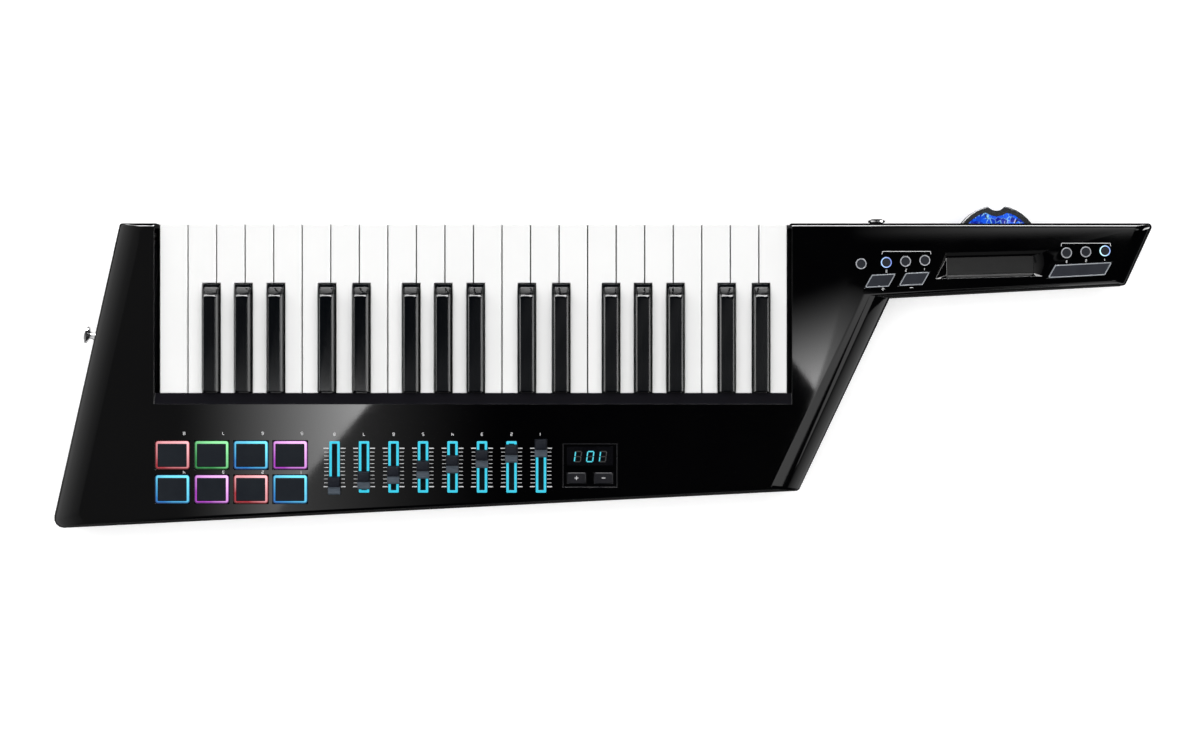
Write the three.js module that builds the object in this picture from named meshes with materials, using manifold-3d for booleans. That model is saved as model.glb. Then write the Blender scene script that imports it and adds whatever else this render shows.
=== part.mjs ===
// Keytar: a shoulder-strap keyboard controller with 37 keys, pads, faders and a control neck.
// Millimetres. X runs along the keys towards the neck, Y towards the key fronts, Z out of the panel.
// The sizes below put zero at the left end of the keys, on the edge that the key fronts share.
import * as THREE from "three";
import { mergeVertices } from "three/addons/utils/BufferGeometryUtils.js";
import Module from "manifold-3d";

const wasm = await Module();
wasm.setup();

// Keys
const keyPitch = 23.5;
const whiteKeyCount = 22;
const keyGap = 1;
const blackKeyWidth = 13.1;
const blackKeyTopWidth = 9.4;
const blackKeyLength = 88.5;
const visibleKeyLength = 138;
const whiteKeyDrop = 7;
const blackKeyRise = 12;
const whiteKeyHeight = 15;
const keyTailHeight = 10;
const keyWall = 2;
const keyEdge = 0.6;
const blackFrontLedge = 2.6;
const blackFrontSlope = 6.8;
const blackLedgeRise = 1.6;
const blackTopEdge = 1;
const blackCornerCut = 1.2;
const blackTailWidth = 9;
const pivotSetback = 22;
const pivotDrop = 7;
const pivotRadius = 2;
const tailBehindPivot = 6;
const whiteKeyPress = THREE.MathUtils.degToRad(3.5);
const saddleBlock = 8;
const sharpOffset = { a: -4.2, g: -1.3, f: 1.9, d: -3, c: 1.8 };

// Outline of the body and neck, seen from the front
const cheekWidth = 32.8;
const leftEdgeLean = 56.4;
const bottomRise = 31.1;
const heelOverhang = 9.4;
const heelReach = 84.5;
const neckRootDepth = 61;
const neckLength = 193.8;
const neckTipDepth = 50.7;
const neckTipLean = 23.8;
const topLeftRadius = 2.6;
const bottomLeftRadius = 8;
const heelRadius = 4;
const neckRadius = 3;
const frontEdgeProud = 0.8;

// Heights of the two covers
const footHeight = 3;
const rearCoverDepth = 31;
const topCoverDepth = 24;
const neckThickness = 38;
const partingGap = 0.3;
const fitGap = 0.3;
const runningGap = 0.6;
const wall = 2.6;
const panelThickness = 3;
const overrun = 1;

// Rounding of the cover edges: how far each edge of the top cover rolls in, and the rear edges
const leftRoll = 20;
const bottomRoll = 4;
const heelRoll = 22;
const neckUnderRoll = 4;
const neckTipRoll = 12;
const topRoll = 3.6;
const frontRollDrop = 8;
const frontDraft = 0.2;
const rearRoll = 9;
const rearRollDrop = 12;
const neckRearRoll = 11;
const neckRearRollDrop = 13;
const rearDraft = 0.4;
const neckOverlap = 42;

// Key slot in the top cover, and the lip behind the keys
const slotSideGap = 3.2;
const lipReach = 10.2;
const lipSetback = 1.1;
const lipThickness = 1.4;
const lipClearance = 1;
const lipRoot = 2.4;
const lipEdgeRun = 0.9;
const lipEdgeDrop = 0.75;
const keyFrontSill = 24;

// Key chassis
const chassisHeight = 14;
const chassisThickness = 2.5;
const chassisInset = 1;
const chassisFrontSetback = 6;
const chassisRearReach = 8;
const fulcrumRibWidth = 3;
const fulcrumBossPitch = 94;
const stopRailSetback = 12;
const stopRailWidth = 3;
const guideSetback = 28;
const guideLength = 8;
const guideWidth = 4;
const guideTop = 40;
const blackGuideSetback = 70;
const chassisFlange = 6;
const supportRibWidth = 2.4;
const supportRibInset = 14;

// Pads
const padColumns = 4;
const padRows = 2;
const padWidth = 28.4;
const padDepth = 23.5;
const padPitch = 32.2;
const padRowPitch = 28;
const firstPadX = 11.9;
const padsSetback = 30.05;
const padsToEdge = 21.25;
const padRise = 1.2;
const padRim = 2.4;
const padStep = 0.8;
const padEdge = 0.5;
const padCorner = 2.4;
const matThickness = 1.6;
const matMargin = 1.6;

// Faders
const faderCount = 8;
const faderPitch = 24.2;
const padsToFaders = 36.4;
const faderTravel = 30.6;
const faderMiddleRise = 4.3;
const faderSlotWidth = 3.6;
const faderStemLength = 6;
const faderStemDepth = 9;
const faderCapWidth = 10.7;
const faderCapLength = 15.2;
const faderCapHeight = 8.6;
const faderCapLift = 0.5;
const faderCapTaper = 0.9;

// Display and its two buttons
const fadersToDisplay = 40.2;
const displayMiddleRise = 5.6;
const displayWidth = 45;
const displayHeight = 36.2;
const displaySink = 0.6;
const presetWidth = 15.2;
const presetHeight = 8.8;
const presetDrop = 10.4;
const presetPitch = 22.2;
const presetRise = 0.8;
const presetCorner = 1.4;

// Push buttons of the neck, placed from its lower root corner and along its lower edge
const roundRadius = 4.4;
const roundRow = 29.2;
const roundPitch = 15.8;
const leftTrioStart = -2.4;
const loneRoundStep = 20.7;
const rightTrioTipSetback = 48.2;
const trioCount = 3;
const roundRise = 1;
const barRow = 9.3;
const barHeight = 10.4;
const barSlant = 6.6;
const octaveStart = -21.4;
const octaveLength = 19.9;
const octaveStep = 27.9;
const sustainTipSetback = 64.7;
const sustainLength = 47;
const buttonRise = 1;
const buttonFlange = 1.2;
const flangeThickness = 1.4;
const buttonCorner = 1;
const buttonEdge = 0.6;

// Touch strip and the sloping recess round it
const stripStart = 47.6;
const stripRow = 16.5;
const stripTipSetback = 75.6;
const stripTopSetback = 36.9;
const stripTilt = THREE.MathUtils.degToRad(-1.58);
const stripSink = 3.6;
const recessLowerMargin = 3.2;
const recessUpperMargin = 4.2;
const recessLowerLeft = 10.4;
const recessUpperLeft = 1.4;
const recessLowerRight = 7;
const recessUpperRight = 12;
const recessWall = 2;
const matWebSetback = 2.2;
const matWebHeight = 4;
const matSideMargin = 4;

// Pitch wheel
const wheelAlongNeck = 89.4;
const wheelSetback = 19.6;
const wheelRadius = 35.7;
const wheelRim = 4.4;
const wheelThickness = 11;
const wheelWebThickness = 7.4;
const wheelHubRadius = 9;
const wheelPostRadius = 4;
const wheelPostProud = 0.8;
const wheelMiddleHeight = 34;
const wheelFlat = 1.5;
const wheelEdge = 1;
const thumbNotchRadius = 9.5;
const thumbNotchDepth = 4.4;
const wheelRibCount = 9;
const wheelRibWidth = 1.2;
const wheelSlotBack = 12;

// Strap pins
const pinHeadRadius = 7.1;
const pinHeadThickness = 2.4;
const pinStemRadius = 2.7;
const pinBaseRadius = 4.6;
const pinBaseThickness = 1.2;
const pinLength = 12.4;
const pinHeight = 24.5;
const endPinSetback = 94;
const neckPinSetback = 8.5;
const neckPinProud = 5;
const pinCupMargin = 0.9;

// Screw bosses and feet
const bossRadius = 4.4;
const bossBore = 1.6;
const screwWellRadius = 3;
const screwWellDepth = 9;
const footRadius = 8.5;
const footTopRadius = 9.5;

// Battery bay and its door
const doorPlaceShare = 0.379;
const chassisToBay = 3.3;
const doorLength = 70;
const doorWidth = 48;
const doorThickness = 2;
const doorTravel = 8;
const bayMargin = 4;
const bayDepth = 18;
const bayWall = 2.4;
const doorGripCount = 5;
const doorGripPitch = 3.4;
const doorGripWidth = 1.4;
const doorGripDepth = 0.7;
const doorGripLength = 26;
const doorTongue = 10;
const doorTongueThickness = 1.4;

// Facet counts
const cornerSteps = 4;
const frontRollSteps = 6;
const rearRollSteps = 4;
const roundSides = 16;
const wheelSides = 40;
const pinSides = 14;
const bossSides = 8;

// Sizes that follow from the ones above
const keybedLength = keyPitch * whiteKeyCount;
const slotDepth = visibleKeyLength + lipReach;
const padBlockDepth = padDepth + (padRows - 1) * padRowPitch;
const bodyDepth = slotDepth + padsSetback + padBlockDepth + padsToEdge;
const panelMiddle = slotDepth + padsSetback + padBlockDepth / 2;
const firstPadSetback = slotDepth + padsSetback + padDepth / 2;
const firstFaderX = firstPadX + (padColumns - 1) * padPitch + padsToFaders;
const faderMiddleSetback = panelMiddle - faderMiddleRise;
const displayX = firstFaderX + (faderCount - 1) * faderPitch + fadersToDisplay;
const displaySetback = panelMiddle - displayMiddleRise;
const presetSetback = displaySetback + presetDrop;
const partingHeight = footHeight + rearCoverDepth;
const panelHeight = partingHeight + topCoverDepth;
const panelUnderside = panelHeight - panelThickness;
const neckBottom = panelHeight - neckThickness;
const whiteTop = panelHeight - whiteKeyDrop;
const blackTop = whiteTop + blackKeyRise;
const pivotY = -visibleKeyLength - pivotSetback;
const pivotZ = whiteTop - pivotDrop;
const tailEnd = pivotY - tailBehindPivot;
const stopReach = -pivotY - stopRailSetback;
const pivotToUnderside = pivotZ - whiteTop + whiteKeyHeight;
const pressedDrop = stopReach * Math.sin(whiteKeyPress) + pivotToUnderside * Math.cos(whiteKeyPress);
const stopRailTop = pivotZ - pressedDrop - fitGap;
const blackFront = -visibleKeyLength + blackKeyLength;
const innerCorner = new THREE.Vector2(keybedLength + heelReach, -neckRootDepth);
const neckTipX = innerCorner.x + neckLength;
const neckPinX = innerCorner.x - neckPinSetback;
const wheelX = innerCorner.x + wheelAlongNeck;
const rightTrioStart = neckLength - rightTrioTipSetback;
const sustainStart = neckLength - sustainTipSetback;
const stripLength = neckLength - stripStart - stripTipSetback;
const stripHeight = neckTipDepth - stripTopSetback;
const doorX = keybedLength * doorPlaceShare;
const bayUpperEdge = -pivotY + chassisRearReach + chassisToBay + bayWall + fitGap;
const doorSetback = bayUpperEdge + doorWidth / 2;
const neckAngle = Math.atan2(neckRootDepth - neckTipDepth, neckLength);
const neckSlope = (neckRootDepth - neckTipDepth) / neckLength;
const wheelBottom = wheelMiddleHeight - wheelThickness / 2;
const wheelTop = wheelMiddleHeight + wheelThickness / 2;
const seatHeight = panelUnderside - fitGap;

// Materials
const finish = (color, roughness, metalness = 0) =>
  new THREE.MeshStandardMaterial({ color, roughness, metalness });
const glossBlack = finish("#0b0b0d", 0.08);
const matteBlack = finish("#17181a", 0.55);
const chassisGrey = finish("#3a3c40", 0.6);
const whiteGloss = finish("#f3f3f1", 0.18);
const blackKeyPlastic = finish("#141416", 0.3);
const padRubber = finish("#3c4048", 0.75);
const keypadRubber = finish("#4a4f59", 0.6);
const faderPlastic = finish("#26272b", 0.45);
const slatePlastic = finish("#565c68", 0.5);
const silverPlastic = finish("#b9bdc6", 0.35, 0.3);
const stripPlastic = finish("#5d5f66", 0.35);
const wheelPlastic = finish("#1d3fc4", 0.2);
const chrome = finish("#d9dade", 0.08, 1);

// Solids from three.js geometry, for joining and cutting
function solidOf(geometry) {
  const bare = geometry.index ? geometry : geometry.clone();
  bare.deleteAttribute("normal");
  bare.deleteAttribute("uv");
  const merged = mergeVertices(bare);
  return new wasm.Manifold(
    new wasm.Mesh({
      numProp: 3,
      vertProperties: merged.attributes.position.array,
      triVerts: new Uint32Array(merged.index.array),
    }),
  );
}

function geometryOf(solid) {
  const mesh = solid.getMesh();
  return new THREE.BufferGeometry()
    .setAttribute("position", new THREE.BufferAttribute(mesh.vertProperties, 3))
    .setIndex(new THREE.BufferAttribute(mesh.triVerts, 1));
}

function piece(name, solid, material) {
  const flat = geometryOf(solid).toNonIndexed();
  flat.computeVertexNormals();
  const mesh = new THREE.Mesh(flat, material);
  mesh.name = name;
  return mesh;
}

const point = (x, y) => new THREE.Vector2(x, y);
const joined = (solids) => solids.reduce((whole, solid) => whole.add(solid));
const cutBy = (solid, cutters) => cutters.reduce((whole, cutter) => whole.subtract(cutter), solid);

function block(x0, x1, y0, y1, z0, z1) {
  const geometry = new THREE.BoxGeometry(x1 - x0, y1 - y0, z1 - z0);
  geometry.translate((x0 + x1) / 2, (y0 + y1) / 2, (z0 + z1) / 2);
  return solidOf(geometry);
}

// A cylinder that stands along Z
function post(x, y, radius, z0, z1, sides = roundSides, topRadius = radius) {
  const geometry = new THREE.CylinderGeometry(topRadius, radius, z1 - z0, sides);
  geometry.rotateX(Math.PI / 2);
  geometry.translate(x, y, (z0 + z1) / 2);
  return solidOf(geometry);
}

// A cylinder that lies along X
function rod(x0, x1, y, z, radius, sides = roundSides) {
  const geometry = new THREE.CylinderGeometry(radius, radius, x1 - x0, sides);
  geometry.rotateZ(Math.PI / 2);
  geometry.translate((x0 + x1) / 2, y, z);
  return solidOf(geometry);
}

// A plan outline raised along Z
function raised(points, z0, z1) {
  const geometry = new THREE.ExtrudeGeometry(new THREE.Shape(points), {
    depth: z1 - z0,
    bevelEnabled: false,
  });
  geometry.translate(0, 0, z0);
  return solidOf(geometry);
}

// A side outline, given as Y and Z, drawn out along X
function drawn(points, x0, x1) {
  const geometry = new THREE.ExtrudeGeometry(new THREE.Shape(points), {
    depth: x1 - x0,
    bevelEnabled: false,
  });
  geometry.applyMatrix4(new THREE.Matrix4().set(0, 0, 1, x0, 1, 0, 0, 0, 0, 1, 0, 0, 0, 0, 0, 1));
  return solidOf(geometry);
}

// The corner of an outline where two inset edges meet
function insetCorner(before, corner, after, insetBefore, insetAfter) {
  const into = corner.clone().sub(before).normalize();
  const out = after.clone().sub(corner).normalize();
  const shift = point(-into.y, into.x).multiplyScalar(insetBefore);
  const target = point(-out.y, out.x).multiplyScalar(insetAfter);
  const turn = into.cross(out);
  const along = target.sub(shift).cross(out) / turn;
  return corner.clone().add(shift).addScaledVector(into, along);
}

// One ring of a loft: every edge is moved in by its own inset, and every corner is rounded
function ring(corners, insets, radii, height, steps = cornerSteps) {
  const count = corners.length;
  const moved = corners.map((corner, i) => {
    const last = (i + count - 1) % count;
    return insetCorner(corners[last], corner, corners[(i + 1) % count], insets[last], insets[i]);
  });
  return moved.flatMap((corner, i) => {
    if (radii[i] === 0) return [new THREE.Vector3(corner.x, corner.y, height)];
    const into = corner.clone().sub(moved[(i + count - 1) % count]).normalize();
    const out = moved[(i + 1) % count].clone().sub(corner).normalize();
    const angle = Math.atan2(into.cross(out), into.dot(out));
    const side = Math.sign(angle);
    const start = corner.clone().addScaledVector(into, -radii[i] * Math.tan(Math.abs(angle) / 2));
    const centre = start.clone().add(point(-into.y, into.x).multiplyScalar(side * radii[i]));
    return Array.from({ length: steps + 1 }, (_, step) => {
      const turned = start.clone().rotateAround(centre, (angle * step) / steps);
      return new THREE.Vector3(turned.x, turned.y, height);
    });
  });
}

// A closed solid through rings of points, lowest first
function loft(rings) {
  const count = rings[0].length;
  const positions = rings.flat().flatMap((p) => [p.x, p.y, p.z]);
  const faces = [];
  rings.slice(1).forEach((_, level) => {
    for (let i = 0; i < count; i += 1) {
      const a = level * count + i;
      const b = level * count + ((i + 1) % count);
      faces.push(a, b, b + count, a, b + count, a + count);
    }
  });
  const cap = (end) => THREE.ShapeUtils.triangulateShape(end.map((p) => point(p.x, p.y)), []);
  cap(rings[0]).forEach(([a, b, c]) => faces.push(a, c, b));
  const top = (rings.length - 1) * count;
  cap(rings[rings.length - 1]).forEach(([a, b, c]) => faces.push(top + a, top + b, top + c));
  const geometry = new THREE.BufferGeometry()
    .setAttribute("position", new THREE.Float32BufferAttribute(positions, 3))
    .setIndex(faces);
  return solidOf(geometry);
}

// Corners of a rectangle, anticlockwise
const rectangle = (x0, x1, y0, y1) => [point(x0, y0), point(x1, y0), point(x1, y1), point(x0, y1)];

// A plan outline raised along Z, with rounded corners and a bevelled upper edge
function keycap(corners, corner, edge, z0, z1, steps = 2) {
  const radii = corners.map(() => corner);
  const none = corners.map(() => 0);
  const bevel = corners.map(() => edge);
  return loft([
    ring(corners, none, radii, z0, steps),
    ring(corners, none, radii, z1 - edge, steps),
    ring(corners, bevel, radii, z1, steps),
  ]);
}

// Outlines of the covers
const bodyTopLeft = point(-cheekWidth, frontEdgeProud);
const bodyBottomLeft = point(-cheekWidth - leftEdgeLean, -bodyDepth);
const heelCorner = point(keybedLength + heelOverhang, -bodyDepth + bottomRise);
const neckTipLower = point(neckTipX, -neckTipDepth);
const neckTipUpper = point(neckTipX + neckTipLean, frontEdgeProud);
const wholeOutline = [
  bodyTopLeft,
  bodyBottomLeft,
  heelCorner,
  innerCorner,
  neckTipLower,
  neckTipUpper,
];
const wholeRadii = [topLeftRadius, bottomLeftRadius, heelRadius, 0, neckRadius, neckRadius];
const bodyOutline = [
  bodyTopLeft,
  bodyBottomLeft,
  heelCorner,
  innerCorner,
  point(innerCorner.x, frontEdgeProud),
];
const bodyRadii = [topLeftRadius, bottomLeftRadius, heelRadius, 0, 0];
const neckOutline = [
  point(innerCorner.x - neckOverlap, frontEdgeProud),
  point(innerCorner.x - neckOverlap, innerCorner.y - neckOverlap * neckSlope),
  neckTipLower,
  neckTipUpper,
];
const neckRadii = [0, 0, neckRadius, neckRadius];

// The block that the top cover is cut from, or its hollow when shrunk by a wall
function topBlock(inset, lowered, foot) {
  const rolls = [leftRoll, bottomRoll, heelRoll, neckUnderRoll, neckTipRoll, topRoll];
  const ringAt = (share, angle, height) => {
    const insets = rolls.map((roll) => inset + frontDraft * share + roll * (1 - Math.cos(angle)));
    return ring(wholeOutline, insets, wholeRadii, height);
  };
  const shoulder = panelHeight - lowered - frontRollDrop;
  const rings = [ringAt(0, 0, foot)];
  for (let step = 0; step <= frontRollSteps; step += 1) {
    const angle = (step / frontRollSteps) * (Math.PI / 2);
    rings.push(ringAt(1, angle, shoulder + frontRollDrop * Math.sin(angle)));
  }
  return loft(rings);
}

// A tray with rounded rear edges that opens at the parting line
function rearBlock(corners, radii, inset, bottom, top, roll, drop) {
  const rings = [];
  for (let step = 0; step <= rearRollSteps; step += 1) {
    const angle = (step / rearRollSteps) * (Math.PI / 2);
    const insets = corners.map(() => inset + rearDraft + roll * (1 - Math.sin(angle)));
    rings.push(ring(corners, insets, radii, bottom + drop * (1 - Math.cos(angle))));
  }
  const rim = corners.map(() => inset);
  rings.push(ring(corners, rim, radii, top));
  return loft(rings);
}

// Places of the screws as shares of the key bed length and the body depth
const screwPlaceShares = [
  [-0.125, 0.912],
  [0.254, 0.924],
  [0.632, 0.884],
  [0.884, 0.852],
  [-0.035, 0.085],
  [1.07, 0.42],
  [1.062, 0.072],
];
const screwPlaces = [
  ...screwPlaceShares.map(([along, down]) => point(along * keybedLength, -down * bodyDepth)),
  point(neckTipX, -neckTipDepth / 2),
];
const footPlaceShares = [
  [-0.1, 0.87],
  [-0.03, 0.11],
  [0.95, 0.78],
  [1.08, 0.13],
];

// A place on the neck, measured along and up from its lower root corner
const onNeck = (along, up) => point(along, up).rotateAround(point(0, 0), neckAngle).add(innerCorner);

// A place on the touch strip, measured along and up from its lower left corner
const onStrip = (along, up) => {
  const turned = point(along, up).rotateAround(point(0, 0), stripTilt);
  return onNeck(stripStart + turned.x, stripRow + turned.y);
};

// Keys from left to right run down from the highest C
const noteNames = ["c", "b", "a", "g", "f", "e", "d"];
const noteOf = (index) => noteNames[index % noteNames.length];

// The centre of the black key between white keys index - 1 and index, or null where there is none
function blackCentre(index) {
  const offset = sharpOffset[noteOf(index)];
  const present = index > 0 && index < whiteKeyCount && offset !== undefined;
  return present ? index * keyPitch + offset : null;
}

// The half-round bearing under the tail of a key that sits on the fulcrum bar
function saddleCut(x0, x1) {
  const radius = pivotRadius + fitGap;
  const mouth = block(x0, x1, pivotY - radius, pivotY + radius, pivotZ - whiteKeyHeight, pivotZ);
  return rod(x0, x1, pivotY, pivotZ, radius).add(mouth);
}

function whiteKey(index) {
  const headLeft = index * keyPitch + keyGap / 2;
  const headRight = (index + 1) * keyPitch - keyGap / 2;
  const reach = blackKeyWidth / 2 + keyGap;
  const before = blackCentre(index);
  const after = blackCentre(index + 1);
  const tailLeft = before === null ? headLeft : before + reach;
  const tailRight = after === null ? headRight : after - reach;
  const notch = blackFront + keyGap;
  const rightNotch = after === null ? [] : [point(headRight, notch), point(tailRight, notch)];
  const leftNotch = before === null ? [] : [point(tailLeft, notch), point(headLeft, notch)];
  const corners = [
    point(headLeft, 0),
    ...leftNotch.reverse(),
    point(tailLeft, tailEnd),
    point(tailRight, tailEnd),
    ...rightNotch.reverse(),
    point(headRight, 0),
  ];
  const bottom = whiteTop - whiteKeyHeight;
  const tailBottom = whiteTop - keyTailHeight;
  const ceiling = whiteTop - keyWall;
  const plate = keycap(corners, 0, keyEdge, bottom, whiteTop);
  const underTail = block(
    headLeft - overrun,
    headRight + overrun,
    tailEnd - overrun,
    notch + keyWall,
    bottom - overrun,
    tailBottom,
  );
  const headHollow = block(
    headLeft + keyWall,
    headRight - keyWall,
    notch + keyWall,
    -keyWall,
    bottom - overrun,
    ceiling,
  );
  const tailHollow = block(
    tailLeft + keyWall,
    tailRight - keyWall,
    pivotY + saddleBlock,
    notch + 2 * keyWall,
    bottom - overrun,
    ceiling,
  );
  const saddle = saddleCut(headLeft - overrun, headRight + overrun);
  return cutBy(plate, [underTail, headHollow, tailHollow, saddle]);
}

// One level of a black key: how far its front, sides and rear stand in
function blackRing(centre, front, side, rear, height) {
  const half = blackKeyWidth / 2;
  const corners = rectangle(centre - half, centre + half, -visibleKeyLength, blackFront);
  const cut = [0, 0, blackCornerCut, blackCornerCut];
  return ring(corners, [rear, side, front, side], cut, height, 1);
}

function blackKey(centre) {
  const ledgeTop = whiteTop + blackLedgeRise;
  const sideLean = (blackKeyWidth - blackKeyTopWidth) / 2;
  const slope = blackFrontLedge + blackFrontSlope;
  const bottom = whiteTop - keyTailHeight;
  const rearLean = keyEdge;
  const shaped = loft([
    blackRing(centre, 0, 0, 0, bottom),
    blackRing(centre, 0, 0, 0, ledgeTop),
    blackRing(centre, blackFrontLedge, keyEdge / 2, 0, ledgeTop + keyEdge / 2),
    blackRing(centre, slope, sideLean - keyEdge, rearLean / 2, blackTop - blackTopEdge),
    blackRing(centre, slope + 2 * blackTopEdge, sideLean, rearLean, blackTop),
  ]);
  const tail = block(
    centre - blackTailWidth / 2,
    centre + blackTailWidth / 2,
    tailEnd,
    -visibleKeyLength + keyWall,
    bottom,
    whiteTop,
  );
  const half = blackKeyWidth / 2 - keyWall;
  const front = blackFront - keyWall;
  const rear = -visibleKeyLength + keyWall;
  const hollow = block(centre - half, centre + half, rear, front, bottom - overrun, whiteTop);
  const crown = blackKeyTopWidth / 2 - keyWall;
  const upperHollow = block(
    centre - crown,
    centre + crown,
    rear + keyWall,
    front - slope,
    bottom - overrun,
    blackTop - keyWall - blackTopEdge,
  );
  const saddle = saddleCut(centre - blackKeyWidth, centre + blackKeyWidth);
  return cutBy(shaped.add(tail), [hollow, upperHollow, saddle]);
}

// The moulded tray under the keys: fulcrum bar, stop rail, guide posts and screw flanges
function keyChassis() {
  const left = chassisInset;
  const right = keybedLength - chassisInset;
  const rear = pivotY - chassisRearReach;
  const floor = chassisHeight + chassisThickness;
  const inside = chassisHeight + chassisThickness / 2;
  const middle = fulcrumRibWidth / 2;
  const solids = [
    block(left, right, rear, -chassisFrontSetback, chassisHeight, floor),
    block(left, right, pivotY - middle, pivotY + middle, inside, pivotZ),
    rod(left, right, pivotY, pivotZ, pivotRadius),
    block(
      left,
      right,
      -stopRailSetback - stopRailWidth,
      -stopRailSetback,
      inside,
      stopRailTop,
    ),
    block(
      left,
      right,
      -chassisFrontSetback - fulcrumRibWidth,
      -chassisFrontSetback,
      inside,
      floor + chassisFlange,
    ),
    block(left, right, rear, rear + fulcrumRibWidth, inside, floor + chassisFlange),
  ];
  for (let index = 0; index < whiteKeyCount; index += 1) {
    const x = (index + 1 / 2) * keyPitch;
    const y = -guideSetback;
    solids.push(
      block(
        x - guideWidth / 2,
        x + guideWidth / 2,
        y - guideLength / 2,
        y + guideLength / 2,
        inside,
        guideTop,
      ),
    );
  }
  for (let index = 1; index < whiteKeyCount; index += 1) {
    const x = blackCentre(index);
    if (x === null) continue;
    const y = -blackGuideSetback;
    solids.push(
      block(
        x - guideWidth / 2,
        x + guideWidth / 2,
        y - guideLength / 2,
        y + guideLength / 2,
        inside,
        guideTop,
      ),
    );
  }
  for (let x = fulcrumBossPitch / 2; x < right; x += fulcrumBossPitch) {
    const web = [
      point(rear + fulcrumRibWidth / 2, inside),
      point(pivotY, inside),
      point(pivotY, pivotZ - pivotRadius),
      point(pivotY - middle, pivotZ - pivotRadius),
      point(rear + fulcrumRibWidth / 2, floor + chassisFlange),
    ];
    solids.push(drawn(web, x - fulcrumRibWidth / 2, x + fulcrumRibWidth / 2));
  }
  return joined(solids);
}

// Screw bosses that reach from a cover to the parting line
function screwBosses(z0, z1) {
  return screwPlaces.map(({ x, y }) => post(x, y, bossRadius, z0, z1, bossSides));
}

const padPlaces = Array.from({ length: padColumns * padRows }, (_, i) =>
  point(
    firstPadX + (i % padColumns) * padPitch,
    -firstPadSetback - Math.floor(i / padColumns) * padRowPitch,
  ),
);
const padCorners = ({ x, y }, grow) =>
  rectangle(
    x - padWidth / 2 - grow,
    x + padWidth / 2 + grow,
    y - padDepth / 2 - grow,
    y + padDepth / 2 + grow,
  );

const faderX = (index) => firstFaderX + index * faderPitch;
const faderShare = (index) => index / (faderCount - 1);
const faderRestY = (index) => -faderMiddleSetback + (faderShare(index) - 1 / 2) * faderTravel;

// A parallelogram on the neck, as the octave and sustain buttons have
function barCorners(start, length, grow) {
  const lean = barSlant / barHeight;
  return [
    onNeck(start - grow - lean * grow, barRow - grow),
    onNeck(start + length + grow - lean * grow, barRow - grow),
    onNeck(start + length + barSlant + grow + lean * grow, barRow + barHeight + grow),
    onNeck(start + barSlant - grow + lean * grow, barRow + barHeight + grow),
  ];
}

const roundPlaces = [onNeck(leftTrioStart - loneRoundStep, roundRow)];
for (const start of [leftTrioStart, rightTrioStart]) {
  for (let index = 0; index < trioCount; index += 1) {
    roundPlaces.push(onNeck(start + index * roundPitch, roundRow));
  }
}

const barButtons = [
  { name: "octave_up_button", start: octaveStart, length: octaveLength },
  { name: "octave_down_button", start: octaveStart + octaveStep, length: octaveLength },
  { name: "sustain_button", start: sustainStart, length: sustainLength },
];

const presetCorners = (side, grow) => {
  const x = displayX + (side * presetPitch) / 2;
  return rectangle(
    x - presetWidth / 2 - grow,
    x + presetWidth / 2 + grow,
    -presetSetback - presetHeight / 2 - grow,
    -presetSetback + presetHeight / 2 + grow,
  );
};

const stripCorners = (grow) => [
  onStrip(-grow, -grow),
  onStrip(stripLength + grow, -grow),
  onStrip(stripLength + grow, stripHeight + grow),
  onStrip(-grow, stripHeight + grow),
];
const recessCorners = (grow) => [
  onStrip(-recessLowerLeft - grow, -recessLowerMargin - grow),
  onStrip(stripLength + recessLowerRight + grow, -recessLowerMargin - grow),
  onStrip(stripLength + recessUpperRight + grow, stripHeight + recessUpperMargin + grow),
  onStrip(-recessUpperLeft - grow, stripHeight + recessUpperMargin + grow),
];
const levelRing = (corners, height) => corners.map((p) => new THREE.Vector3(p.x, p.y, height));

// The space that the pitch wheel turns in where it passes through the covers
function wheelSlot() {
  const disc = post(
    wheelX,
    -wheelSetback,
    wheelRadius + runningGap,
    wheelBottom - runningGap,
    wheelTop + runningGap,
    wheelSides,
  );
  const mouth = block(
    wheelX - 2 * wheelRadius,
    wheelX + 2 * wheelRadius,
    -wheelSlotBack,
    wheelRadius,
    wheelBottom - wheelRadius,
    wheelTop + wheelRadius,
  );
  return disc.intersect(mouth);
}

// The lip that slopes from the panel down to just above the white keys
function slotLip() {
  const front = -visibleKeyLength - lipSetback;
  const low = whiteTop + lipClearance;
  const profile = [
    point(-slotDepth - lipRoot, panelUnderside),
    point(front, low),
    point(front, low + lipThickness - lipEdgeDrop),
    point(front - lipEdgeRun, low + lipThickness),
    point(-slotDepth, panelHeight),
    point(-slotDepth - lipRoot, panelHeight),
  ];
  const side = slotSideGap + wall / 2;
  return drawn(profile, -side, keybedLength + side);
}

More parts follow.
